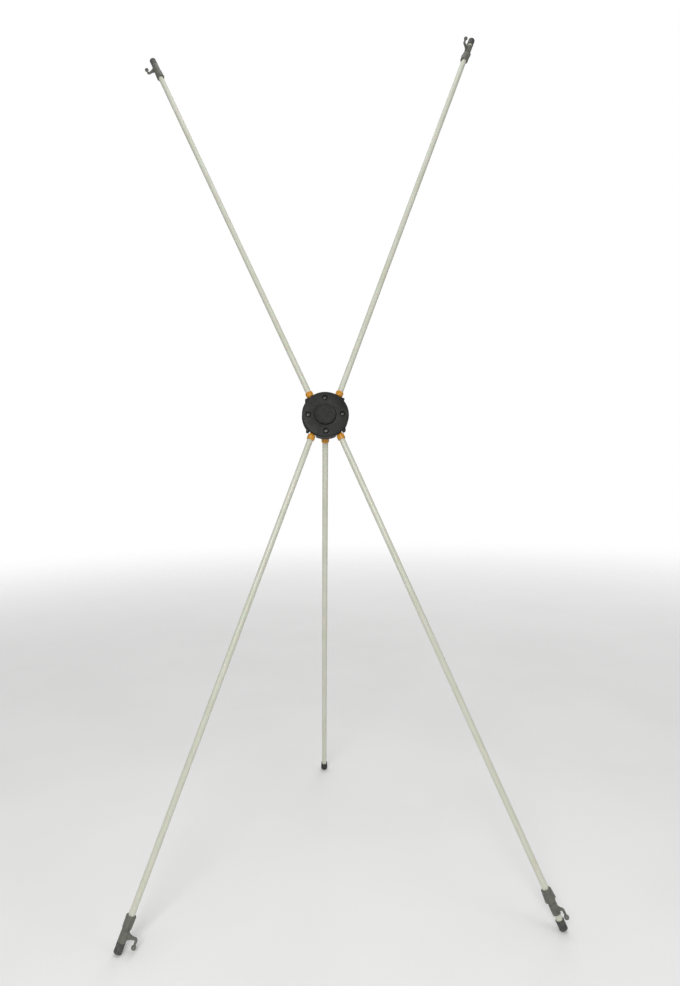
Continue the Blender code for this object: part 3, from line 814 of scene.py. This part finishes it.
def hinge_seats(shell, rim, half_width, slot_span, ear_span):
    """Boolean steps for a shell's ears, slots and pin grooves, one of each for every pole of the X."""
    steps = []
    for pole in TIP_POLES:
        seat = seat_frame(pole)
        near = outward(seat) * EYE_HALF
        far = outward(seat) * (PIN_HALF + FIT + EAR_WALL)
        low = (min(near, far), ear_span[0], -CHEEK_REACH)
        high = (max(near, far), ear_span[1], CHEEK_REACH)
        steps.append(("UNION", rounded_box(f"{shell}_{pole}_ear", low, high, EAR_ROUNDING), seat))
    for pole in TIP_POLES:
        seat = seat_frame(pole)
        low = (-half_width, slot_span[0], -EYE_RADIUS - FIT)
        high = (half_width, slot_span[1], rim)
        steps.append(("DIFFERENCE", rounded_box(f"{shell}_{pole}_slot", low, high, 0), seat))
        groove = rod(f"{shell}_{pole}_groove", PIN_RADIUS + FIT, -PIN_HALF - FIT, PIN_HALF + FIT)
        steps.append(("DIFFERENCE", groove, seat @ ALONG_X))
    return steps


def screw_middle(name):
    low, high = measure(f"hub_screw_{name}", DISC)
    return Matrix.Translation(((low.x + high.x) / 2, (low.y + high.y) / 2, 0))


def make_front_shell():
    low, high = measure("hub_front_shell", DISC)
    cap_radius = measure("hub_centre_cap", DISC)[1].x
    head_radius = measure("hub_screw_top", screw_pose("top"))[1].x
    rim, face, split = high.x, high.z, low.z
    groove = cap_radius - FACE_GROOVE_WIDTH / 2
    corners = [
        (DISC_INNER_RING, face, 0),
        (groove, face, 0.0002),
        (groove, face - FACE_GROOVE_DEPTH, 0.0002),
        (groove + FACE_GROOVE_WIDTH, face - FACE_GROOVE_DEPTH, 0.0002),
        (groove + FACE_GROOVE_WIDTH, face, 0.0003),
        (rim, face, SHELL_EDGE),
        (rim, split, SPLIT_EDGE),
        (DISC_OUTER_RING, split, 0),
    ]
    ear_span = (-face + SHELL_EDGE, -2 * FIT)
    steps = hinge_seats("front", rim, EYE_HALF + FIT, (-EYE_RADIUS - FIT, OVERCUT), ear_span)
    pocket = rod("front_pocket", POCKET_RADIUS, -OVERCUT, face - POCKET_WALL, SMOOTH_STEPS)
    steps.append(("DIFFERENCE", pocket, AT_ORIGIN))
    steps.append(("DIFFERENCE", rod("cap_hole", SPIGOT_RADIUS + FIT, 0, face + OVERCUT), AT_ORIGIN))
    for name in SCREWS:
        bore = countersunk_rod(
            f"{name}_counterbore",
            head_radius + COUNTERBORE_ROOM,
            face - COUNTERBORE_DEPTH,
            face,
            COUNTERBORE_CHAMFER,
        )
        hole = rod(f"{name}_hole", SHANK_RADIUS + FIT, -OVERCUT, face - COUNTERBORE_DEPTH + FIT)
        steps += [("DIFFERENCE", bore, screw_middle(name)), ("DIFFERENCE", hole, screw_middle(name))]
    mesh = combined("front_shell_moulding", turned("front_disc", corners, DISC_STEPS, turn=DISC_TURN), steps)
    add_piece("front_shell_moulding", mesh, DISC, "hub", "hub", HUB_PLASTIC, "hub_front_shell")


def clevis_outline(back, pin):
    """A cheek's side outline, from the shell round its nose and back, as (y, z) in the disc's frame."""
    root = CLEVIS_RADIUS + CLEVIS_ROOT_FLARE
    outline = [(pin.y - root, back + CLEVIS_SINK)]
    for i in range(CLEVIS_STEPS + 1):
        angle = -pi + pi * i / CLEVIS_STEPS
        outline.append((pin.y + CLEVIS_RADIUS * cos(angle), pin.z + CLEVIS_RADIUS * sin(angle)))
    outline.append((pin.y + root, back + CLEVIS_SINK))
    return outline


def slab(name, outline, low, high, rounding):
    """A plate with that (y, z) outline, from low to high along X, its rims rounded."""
    shape = bmesh.new()
    face = shape.faces.new([shape.verts.new((low, y, z)) for y, z in outline])
    raised = bmesh.ops.extrude_face_region(shape, geom=[face])["geom"]
    moved = [item for item in raised if isinstance(item, bmesh.types.BMVert)]
    bmesh.ops.translate(shape, vec=(high - low, 0, 0), verts=moved)
    bmesh.ops.recalc_face_normals(shape, faces=shape.faces)
    rims = [edge for edge in shape.edges if abs(edge.verts[0].co.x - edge.verts[1].co.x) < FIT]
    bmesh.ops.bevel(shape, geom=rims, offset=rounding, segments=3, profile=0.5, affect="EDGES")
    return mesh_from(name, shape)


def make_rear_shell():
    high = measure("hub_rear_shell", DISC)[1]
    rim, split = high.x, high.z
    pin = DISC.inverted() @ pin_middle("rear_leg")
    back = pin.z + EYE_RADIUS + CLEVIS_STAND_OFF
    corners = [
        (DISC_OUTER_RING, split, 0),
        (rim, split, SPLIT_EDGE),
        (rim, back, SHELL_EDGE),
        (RIB_RIM_RADIUS + RIB_WIDTH, back, 0.0004),
        (RIB_RIM_RADIUS + RIB_WIDTH, back - RIB_HEIGHT, 0.0004),
        (RIB_RIM_RADIUS, back - RIB_HEIGHT, 0.0004),
        (RIB_RIM_RADIUS, back, 0.0004),
        (RIB_CENTRE_RADIUS + RIB_WIDTH, back, 0.0004),
        (RIB_CENTRE_RADIUS + RIB_WIDTH, back - RIB_HEIGHT, 0.0004),
        (RIB_CENTRE_RADIUS, back - RIB_HEIGHT, 0.0004),
        (RIB_CENTRE_RADIUS, back, 0.0004),
        (RIB_CENTRE_RADIUS / 2, back, 0),
    ]
    steps = []
    for turn in RIB_TURNS:
        rib = rounded_box(
            f"rib_{turn}",
            (RIB_CENTRE_RADIUS + RIB_WIDTH / 2, -RIB_WIDTH / 2, back - RIB_HEIGHT),
            (RIB_RIM_RADIUS + RIB_WIDTH / 2, RIB_WIDTH / 2, back + RIB_HEIGHT),
            0.0003,
        )
        steps.append(("UNION", rib, Matrix.Rotation(radians(turn), 4, "Z")))
    slot_span = (-OVERCUT, -back + 2 * OVERCUT)
    ear_span = (2 * FIT, -back - SHELL_EDGE)
    steps += hinge_seats("rear", rim, BEAD_RADIUS + 2 * FIT, slot_span, ear_span)
    for side in (-1, 1):
        near = side * (EYE_HALF + FIT)
        far = side * (EYE_HALF + FIT + CLEVIS_WALL)
        cheek = slab(f"cheek_{side}", clevis_outline(back, pin), min(near, far), max(near, far), CLEVIS_EDGE)
        steps.append(("UNION", cheek, AT_ORIGIN))
    half = EYE_HALF + CLEVIS_WALL + OVERCUT
    at_pin = Matrix.Translation(pin) @ ALONG_X
    steps.append(("DIFFERENCE", rod("rear_pin_hole", PIN_RADIUS + FIT, -half, half), at_pin))
    window = rounded_box(
        "eye_window",
        (-EYE_HALF - FIT, pin.y - EYE_RADIUS - 2 * FIT, pin.z - EYE_RADIUS),
        (EYE_HALF + FIT, pin.y + EYE_RADIUS + 2 * FIT, back),
        0,
    )
    steps.append(("DIFFERENCE", window, AT_ORIGIN))
    pocket = rod("rear_pocket", POCKET_RADIUS, back + POCKET_WALL, OVERCUT, SMOOTH_STEPS)
    steps.append(("DIFFERENCE", pocket, AT_ORIGIN))
    thread_end = measure("hub_screw_top", DISC)[0].z - FIT
    for name in SCREWS:
        hole = rod(f"{name}_thread_hole", SHANK_RADIUS + FIT, thread_end, OVERCUT)
        steps.append(("DIFFERENCE", hole, screw_middle(name)))
    mesh = combined("rear_shell_moulding", turned("rear_disc", corners, DISC_STEPS, turn=DISC_TURN), steps)
    add_piece("rear_shell_moulding", mesh, DISC, "hub", "hub", HUB_PLASTIC, "hub_rear_shell")


def make_centre_cap():
    low, high = measure("hub_centre_cap", DISC)
    seat = measure("hub_front_shell", DISC)[1].z + FIT
    corners = [
        (0, high.z - CAP_DISH, 0),
        (CAP_DISH_RADIUS, high.z - CAP_DISH, 0.0010),
        (CAP_DISH_RADIUS + 0.0008, high.z, 0.0006),
        (high.x, high.z, CAP_EDGE),
        (high.x, seat, 0.0002),
        (SPIGOT_RADIUS, seat, 0),
        (SPIGOT_RADIUS, low.z, 0.0004),
        (0, low.z, 0),
    ]
    mesh = turned("centre_cap_moulding", corners, DISC_STEPS)
    add_piece("centre_cap_moulding", mesh, DISC, "hub", "hub", HUB_PLASTIC, "hub_centre_cap")


def screw_pose(name):
    return DISC @ screw_middle(name)


def screw_rings(head_radius, seat, tip):
    """Rings from the crown of a pan head down a threaded shank to its point."""
    crown = softened(
        [
            (0.0002, seat + HEAD_HEIGHT, 0),
            (head_radius, seat + HEAD_HEIGHT, 0.0013),
            (head_radius, seat, 0.0002),
            (SHANK_RADIUS, seat, 0),
        ]
    )
    angles = [2 * pi * i / FINE_STEPS for i in range(FINE_STEPS)]
    rings = [[(radius * cos(a), radius * sin(a), height) for a in angles] for radius, height in crown]
    count = int((seat - tip) / THREAD_PITCH * THREAD_STEPS)
    for i in range(1, count + 1):
        height = seat - (seat - tip) * i / count
        taper = min(1, POINT_SHARE + (height - tip) / (2 * SHANK_RADIUS))
        ring = []
        for angle in angles:
            phase = (height / THREAD_PITCH + angle / (2 * pi)) % 1
            radius = (SHANK_RADIUS - THREAD_DEPTH * abs(2 * phase - 1)) * taper
            ring.append((radius * cos(angle), radius * sin(angle), height))
        rings.append(ring)
    return rings


def make_screws():
    for index, name in enumerate(SCREWS):
        pose = screw_pose(name)
        low, high = measure(f"hub_screw_{name}", pose)
        top = high.z
        body = skin(f"pan_screw_{name}", screw_rings(high.x, top - HEAD_HEIGHT, low.z))
        arms = []
        for turn in (0, pi / 2):
            arm = rounded_box(
                f"cross_{name}_{turn:.0f}",
                (-CROSS_SPAN / 2, -CROSS_WIDTH / 2, top - CROSS_DEPTH),
                (CROSS_SPAN / 2, CROSS_WIDTH / 2, top + OVERCUT),
                0,
            )
            for vertex in arm.vertices:
                if vertex.co.z < top:
                    vertex.co.x *= CROSS_FLOOR_SPAN
                    vertex.co.y *= CROSS_FLOOR_WIDTH
            arms.append(("DIFFERENCE", arm, Matrix.Rotation(turn + CROSS_TURN * index, 4, "Z")))
        mesh = combined(f"pan_screw_{name}", body, arms)
        add_piece(f"pan_screw_{name}", mesh, pose, "hub", "screw_steel", SCREW_PLATE, f"hub_screw_{name}")


# --- Poles ------------------------------------------------------------------------------------------------


def make_hinge_pin(pole):
    pose = frame_at(pin_middle(pole), -DISC.to_3x3().col[2], JOINTS[f"{pole}_fold"]["axis"])
    high = measure(f"{pole}_hinge_pin", pose)[1]
    corners = [
        (0, high.z, 0),
        (high.x, high.z, 0.0005),
        (high.x, -high.z, 0.0005),
        (0, -high.z, 0),
    ]
    mesh = turned(f"{pole}_steel_pin", corners, FINE_STEPS)
    add_piece(f"{pole}_steel_pin", mesh, pose, "hub", "pin_steel", PIN_STEEL, f"{pole}_hinge_pin")


def make_knuckle(pole):
    """An eye on the pin, a waisted neck, and a fluted bead whose socket holds the pole."""
    pose = pole_frame(pole)
    end = measure(f"{pole}_knuckle", pose)[1].z
    start = end - BEAD_LENGTH
    floor = end - SOCKET_DEPTH
    eye_corners = [
        (0, EYE_HALF, 0),
        (EYE_RADIUS, EYE_HALF, EYE_EDGE),
        (EYE_RADIUS, -EYE_HALF, EYE_EDGE),
        (0, -EYE_HALF, 0),
    ]
    eye = turned(f"{pole}_eye", eye_corners)
    eye.transform(ALONG_X)

    def flutes(angle, height, radius):
        if not start + BEAD_EDGE / 2 < height < end - BEAD_EDGE / 2 or radius < BORE_RADIUS + FIT:
            return 0
        return -BEAD_FLUTE_DEPTH * (0.5 - 0.5 * cos(BEAD_FLUTES * angle))

    stem = turned(
        f"{pole}_stem",
        [
            (0, floor, 0),
            (BORE_RADIUS, floor, 0.0003),
            (BORE_RADIUS, end, 0.0003),
            (BEAD_RADIUS, end, BEAD_EDGE),
            (BEAD_RADIUS, start, BEAD_EDGE),
            (NECK_RADIUS, start, 0.0006),
            (NECK_WAIST, start - NECK_SLOPE, 0.0020),
            (NECK_WAIST, 0, 0),
            (0, 0, 0),
        ],
        SMOOTH_STEPS,
        swell=flutes,
    )
    pin_hole = rod(f"{pole}_eye_hole", PIN_RADIUS + FIT, -2 * EYE_HALF, 2 * EYE_HALF)
    steps = [("UNION", stem, AT_ORIGIN), ("DIFFERENCE", pin_hole, ALONG_X)]
    mesh = combined(f"{pole}_knuckle_moulding", eye, steps)
    add_piece(f"{pole}_knuckle_moulding", mesh, pose, pole, "knuckle", AMBER_NYLON, f"{pole}_knuckle")


def make_tube(pole):
    pose = pole_frame(pole)
    low, high = measure(f"{pole}_pole", pose)
    bore = high.x - POLE_WALL
    corners = [
        (high.x, high.z, POLE_EDGE),
        (high.x, low.z, POLE_EDGE),
        (bore, low.z, POLE_EDGE),
        (bore, high.z, POLE_EDGE),
    ]
    mesh = turned(f"{pole}_tube", corners, looped=True)
    add_piece(f"{pole}_tube", mesh, pose, pole, "pole", GLASS_FIBRE, f"{pole}_pole")


# --- Tip fittings -----------------------------------------------------------------------------------------


def wing(name, root, entry_span, span, start, end):
    """A grip wing that widens towards the tip, ridged along its outer edge, with a rounded outer corner."""
    bend = end - WING_CORNER
    spans = []
    for i in range(WING_RINGS + 1):
        t = i / WING_RINGS
        ridge = WING_RIDGE_HEIGHT * (0.5 - 0.5 * cos(2 * pi * WING_RIDGES * t)) * (1 - t)
        spans.append((start + (bend - start) * t, entry_span + (span - entry_span) * t + ridge))
    for i in range(1, SOFT_STEPS + 1):
        angle = pi / 2 * i / SOFT_STEPS
        spans.append((bend + WING_CORNER * sin(angle), span - WING_CORNER * (1 - cos(angle))))
    rings = []
    for height, outer in spans:
        middle = Vector((0, (root + outer) / 2, height))
        half = (outer - root) / 2
        rings.append(oblong_ring(middle, X_WAY, Y_WAY, WING_WIDTH / 2, half, WING_SQUARENESS, FINE_STEPS))
    return skin(name, rings)


def make_grip_collar(pole):
    """A tapered collar with two ridged wings and a short neck that the hook sleeve runs against."""
    pose = slider_frame(pole)
    high = measure(f"{pole}_grip_collar", pose)[1]
    neck_radius = -measure(f"{pole}_hook_sleeve", pose)[0].x
    grip_end = high.z - COLLAR_NECK
    corners = [
        (neck_radius, high.z, SLEEVE_EDGE),
        (neck_radius, grip_end, 0.0003),
        (high.x - COLLAR_TAPER, grip_end, 0.0006),
        (high.x, COLLAR_EDGE, 0.0008),
        (high.x - COLLAR_EDGE, 0, 0.0004),
        (BORE_RADIUS, 0, 0.0005),
        (BORE_RADIUS, high.z, 0.0003),
    ]
    barrel = turned(f"{pole}_barrel", corners, SMOOTH_STEPS, looped=True)
    steps = []
    entry_span = high.x + WING_PROUD_AT_ENTRY
    for turn in (0, pi):
        mesh = wing(f"{pole}_wing_{turn:.0f}", BORE_RADIUS + FIT, entry_span, high.y, WING_START, grip_end)
        steps.append(("UNION", mesh, Matrix.Rotation(turn, 4, "Z")))
    mesh = combined(f"{pole}_collar_moulding", barrel, steps)
    nodes = f"{pole}_grip_collar"
    add_piece(f"{pole}_collar_moulding", mesh, pose, f"{pole}_slider", "grip_collar", SLIDER_PLASTIC, nodes)


def hook_rings(start, reach, ball_height):
    """Rings along the strut from the sleeve's wall, round the corner, down the arm and over the ball."""
    middle = start + STRUT_MIDDLE
    root = BORE_RADIUS + FIT
    bend = reach - HOOK_CORNER
    rings = []
    for i in range(STRUT_RINGS + 1):
        t = i / STRUT_RINGS
        flare = (1 - t) ** STRUT_FLARE_POWER
        half_height = (STRUT_TIP_HEIGHT + (STRUT_ROOT_HEIGHT - STRUT_TIP_HEIGHT) * flare) / 2
        half_width = STRUT_WIDTH / 2 + STRUT_FLARE_WIDTH * flare
        place = Vector((root + (bend - root) * t, 0, middle - STRUT_DROP * t))
        squareness = STRUT_SQUARENESS + (CORNER_SQUARENESS - STRUT_SQUARENESS) * t
        rings.append(oblong_ring(place, Z_WAY, Y_WAY, half_height, half_width, squareness, FINE_STEPS))
    turn_middle = middle - STRUT_DROP + HOOK_CORNER
    for i in range(1, HOOK_RINGS + 1):
        t = i / HOOK_RINGS
        angle = pi / 2 * t
        place = Vector((bend + HOOK_CORNER * sin(angle), 0, turn_middle - HOOK_CORNER * cos(angle)))
        across = Z_WAY * cos(angle) - X_WAY * sin(angle)
        half_height = STRUT_TIP_HEIGHT / 2 + (HOOK_ARM_RADIUS - STRUT_TIP_HEIGHT / 2) * t
        half_width = STRUT_WIDTH / 2 + (HOOK_ARM_RADIUS - STRUT_WIDTH / 2) * t
        squareness = CORNER_SQUARENESS + (ROUND - CORNER_SQUARENESS) * t
        rings.append(oblong_ring(place, across, Y_WAY, half_height, half_width, squareness, FINE_STEPS))
    ball_start = ball_height - (BALL_RADIUS**2 - HOOK_WAIST_RADIUS**2) ** 0.5
    for i in range(1, HOOK_RINGS + 1):
        t = i / HOOK_RINGS
        radius = HOOK_ARM_RADIUS + (HOOK_WAIST_RADIUS - HOOK_ARM_RADIUS) * t * t
        place = Vector((reach, 0, turn_middle + (ball_start - turn_middle) * t))
        rings.append(oblong_ring(place, -X_WAY, Y_WAY, radius, radius, ROUND, FINE_STEPS))
    first = pi - np.arcsin(HOOK_WAIST_RADIUS / BALL_RADIUS)
    for i in range(1, BALL_RINGS):
        angle = first * (1 - i / BALL_RINGS)
        place = Vector((reach, 0, ball_height + BALL_RADIUS * cos(angle)))
        radius = BALL_RADIUS * sin(angle)
        rings.append(oblong_ring(place, -X_WAY, Y_WAY, radius, radius, ROUND, FINE_STEPS))
    rings.append([Vector((reach, 0, ball_height + BALL_RADIUS))])
    return rings


def make_hook_sleeve(pole):
    pose = slider_frame(pole)
    low, high = measure(f"{pole}_hook_sleeve", pose)
    points = points_in(f"{pole}_hook_sleeve", pose)
    end = points[points[:, 0] < 0][:, 2].max()
    radius = -low.x
    corners = [
        (radius, end, SLEEVE_EDGE),
        (radius, low.z + SLEEVE_BAND, 0.0003),
        (radius - SLEEVE_BAND_DEPTH, low.z + SLEEVE_BAND, 0.0002),
        (radius - SLEEVE_BAND_DEPTH, low.z, SLEEVE_EDGE),
        (BORE_RADIUS, low.z, 0.0003),
        (BORE_RADIUS, end, 0.0003),
    ]
    sleeve = turned(f"{pole}_sleeve", corners, SMOOTH_STEPS, looped=True)
    hook = skin(f"{pole}_hook", hook_rings(low.z, high.x - BALL_RADIUS - BALL_INSET, high.z - BALL_RADIUS))
    mesh = combined(f"{pole}_hook_moulding", sleeve, [("UNION", hook, AT_ORIGIN)])
    nodes = f"{pole}_hook_sleeve"
    add_piece(f"{pole}_hook_moulding", mesh, pose, f"{pole}_hook", "hook_sleeve", SLIDER_PLASTIC, nodes)


def make_end_cap(pole):
    pose = pole_frame(pole)
    low, high = measure(f"{pole}_end_cap", pose)
    tip, mouth, radius = high.z - TIP_INSET, low.z, high.x
    ring = tip - CAP_GROOVE_PLACE
    corners = [
        (0, tip - CAP_GATE_DEPTH, 0),
        (CAP_GATE_RADIUS, tip - CAP_GATE_DEPTH, 0.0003),
        (CAP_GATE_RADIUS + 0.0004, tip, 0.0003),
        (radius, tip, CAP_TIP_EDGE),
        (radius, ring, 0.0002),
        (radius - CAP_GROOVE_DEPTH, ring - 0.0004, 0.0002),
        (radius, ring - 0.0008, 0.0002),
        (radius, mouth + CAP_LIP + 0.0004, 0.0003),
        (radius + CAP_LIP_HEIGHT, mouth + CAP_LIP, 0.0003),
        (radius + CAP_LIP_HEIGHT, mouth, 0.0004),
        (BORE_RADIUS, mouth, 0.0003),
        (BORE_RADIUS, tip - CAP_TIP_WALL, 0.0004),
        (0, tip - CAP_TIP_WALL, 0),
    ]
    mesh = turned(f"{pole}_tip_cap", corners, SMOOTH_STEPS)
    add_piece(f"{pole}_tip_cap", mesh, pose, pole, "end_cap", CAP_VINYL, f"{pole}_end_cap")


def make_rear_foot():
    pose = pole_frame("rear_leg")
    low, high = measure("rear_foot", pose)
    tip, mouth, radius = high.z - FOOT_TIP_INSET, low.z, high.x
    rings = []
    for i in range(FOOT_RINGS):
        top = tip - FOOT_EDGE - FOOT_RING_START - FOOT_RING_PITCH * i
        rings += [
            (radius, top, 0.0003),
            (radius - FOOT_RING_DEPTH, top - 0.0005, 0.0002),
            (radius - FOOT_RING_DEPTH, top - 0.0009, 0.0002),
            (radius, top - 0.0014, 0.0003),
        ]
    corners = [
        (0, tip - FOOT_DISH_DEPTH, 0),
        (FOOT_DISH_RADIUS, tip - FOOT_DISH_DEPTH, 0.0004),
        (FOOT_DISH_RADIUS + FOOT_DISH_DEPTH, tip, 0.0004),
        (radius, tip, FOOT_EDGE),
        *rings,
        (FOOT_TOP_RADIUS, mouth + 0.0050, 0.0015),
        (FOOT_TOP_RADIUS, mouth + 0.0016, 0.0004),
        (FOOT_TOP_RADIUS + FOOT_LIP_HEIGHT, mouth + 0.0011, 0.0003),
        (FOOT_TOP_RADIUS + FOOT_LIP_HEIGHT, mouth, 0.0005),
        (BORE_RADIUS, mouth, 0.0003),
        (BORE_RADIUS, tip - FOOT_WALL, 0.0005),
        (0, tip - FOOT_WALL, 0),
    ]
    mesh = turned("rear_foot_moulding", corners, SMOOTH_STEPS)
    add_piece("rear_foot_moulding", mesh, pose, "rear_leg", "rear_foot", FOOT_RUBBER, "rear_foot")


# --- Studio -----------------------------------------------------------------------------------------------


CAMERA_FROM_HUB = Vector((-0.0631, -1.1561, -0.0704))
CAMERA_YAW = radians(-2.43)
CAMERA_PITCH = radians(1.30)
CAMERA_ROLL = radians(-1.28)
CAMERA_LENS = 24.67
CAMERA_SENSOR = 36.0
CAMERA_SHIFT = (0.0220, -0.0209)
FLOOR_RADIUS = 14.0
FLOOR_FADE = (0.6, 4.5)  # distances between which the paper turns into the surroundings
PAPER_GRAIN = 0.0002
WHITE = (1.0, 1.0, 1.0, 1.0)


def make_camera():
    """Looks along +Y, turned by the yaw, tipped down by the pitch, and rolled about its own axis."""
    level = cos(CAMERA_PITCH)
    ahead = Vector((-sin(CAMERA_YAW) * level, cos(CAMERA_YAW) * level, -sin(CAMERA_PITCH)))
    right = ahead.cross(Z_WAY).normalized()
    upright = frame_at(DISC.translation + CAMERA_FROM_HUB, right, -ahead)
    data = bpy.data.cameras.new("studio_camera")
    data.sensor_width = CAMERA_SENSOR
    data.lens = CAMERA_LENS
    data.shift_x, data.shift_y = CAMERA_SHIFT
    camera = bpy.data.objects.new("studio_camera", data)
    camera.matrix_world = upright @ Matrix.Rotation(CAMERA_ROLL, 4, "Z")
    bpy.context.scene.collection.objects.link(camera)
    bpy.context.scene.camera = camera


def make_floor():
    """A pale paper sweep that fades into the white surroundings far from the stand."""
    made = bpy.data.materials.new("studio_paper")
    made.use_nodes = True
    tree = made.node_tree
    shader = tree.nodes["Principled BSDF"]
    place = add_node(tree, "ShaderNodeTexCoord").outputs["Object"]
    mottle = band(tree, noise(tree, place, 3.0, 4.0), 0.3, 0.7)
    colour = mixed(tree, mottle, (0.93, 0.93, 0.925, 1.0), (0.96, 0.96, 0.955, 1.0))
    tree.links.new(colour, shader.inputs["Base Color"])
    shader.inputs["Roughness"].default_value = 0.85
    tree.links.new(relief(tree, noise(tree, place, 350.0, 3.0), PAPER_GRAIN), shader.inputs["Normal"])
    distance = add_node(tree, "ShaderNodeVectorMath", {"operation": "LENGTH"}, i0=place).outputs["Value"]
    fade = band(tree, distance, *FLOOR_FADE)
    clear = add_node(tree, "ShaderNodeBsdfTransparent")
    blend = add_node(tree, "ShaderNodeMixShader", None, i0=fade, i1=shader.outputs[0], i2=clear.outputs[0])
    tree.links.new(blend.outputs[0], tree.nodes["Material Output"].inputs["Surface"])
    shape = bmesh.new()
    bmesh.ops.create_circle(shape, cap_ends=True, segments=96, radius=FLOOR_RADIUS)
    floor = bpy.data.objects.new("studio_floor", mesh_from("studio_floor", shape))
    floor.data.materials.append(made)
    bpy.context.scene.collection.objects.link(floor)


def add_softbox(name, place, target, size, power):
    data = bpy.data.lights.new(name, "AREA")
    data.shape = "SQUARE"
    data.size = size
    data.energy = power
    light = bpy.data.objects.new(name, data)
    light.location = place
    light.rotation_euler = (Vector(target) - Vector(place)).to_track_quat("-Z", "Y").to_euler()
    light.visible_camera = False
    bpy.context.scene.collection.objects.link(light)


def make_surroundings():
    """White where the camera sees it; a softer, top-lit grey as light."""
    world = bpy.data.worlds.new("studio_surroundings")
    bpy.context.scene.world = world
    world.use_nodes = True
    tree = world.node_tree
    glow = tree.nodes["Background"]
    direction = add_node(tree, "ShaderNodeTexCoord").outputs["Generated"]
    height = add_node(tree, "ShaderNodeSeparateXYZ", None, Vector=direction).outputs["Z"]
    shade = mixed(tree, band(tree, height, -0.3, 0.9), (0.16, 0.16, 0.16, 1.0), (0.42, 0.42, 0.42, 1.0))
    seen = add_node(tree, "ShaderNodeLightPath").outputs["Is Camera Ray"]
    tree.links.new(mixed(tree, seen, shade, WHITE), glow.inputs["Color"])


def make_studio():
    middle = (CAD_BOX[0] + CAD_BOX[1]) / 2
    make_camera()
    make_floor()
    make_surroundings()
    add_softbox("front_softbox", (-0.5, -2.4, 1.7), middle, 1.0, 34.0)
    add_softbox("side_softbox", (2.2, -1.6, 1.4), middle, 1.2, 5.0)
    add_softbox("back_softbox", (0.8, 2.6, 2.2), middle, 1.6, 10.0)
    add_softbox("top_softbox", (0.0, 0.2, 3.6), (0.0, 0.2, 0.0), 2.4, 24.0)
    bpy.context.scene.view_settings.view_transform = "Standard"


# --- Build ------------------------------------------------------------------------------------------------


make_studio()
make_front_shell()
make_rear_shell()
make_centre_cap()
make_screws()
for pole_name in POLES:
    make_hinge_pin(pole_name)
    make_knuckle(pole_name)
    make_tube(pole_name)
for pole_name in TIP_POLES:
    make_grip_collar(pole_name)
    make_hook_sleeve(pole_name)
    make_end_cap(pole_name)
make_rear_foot()
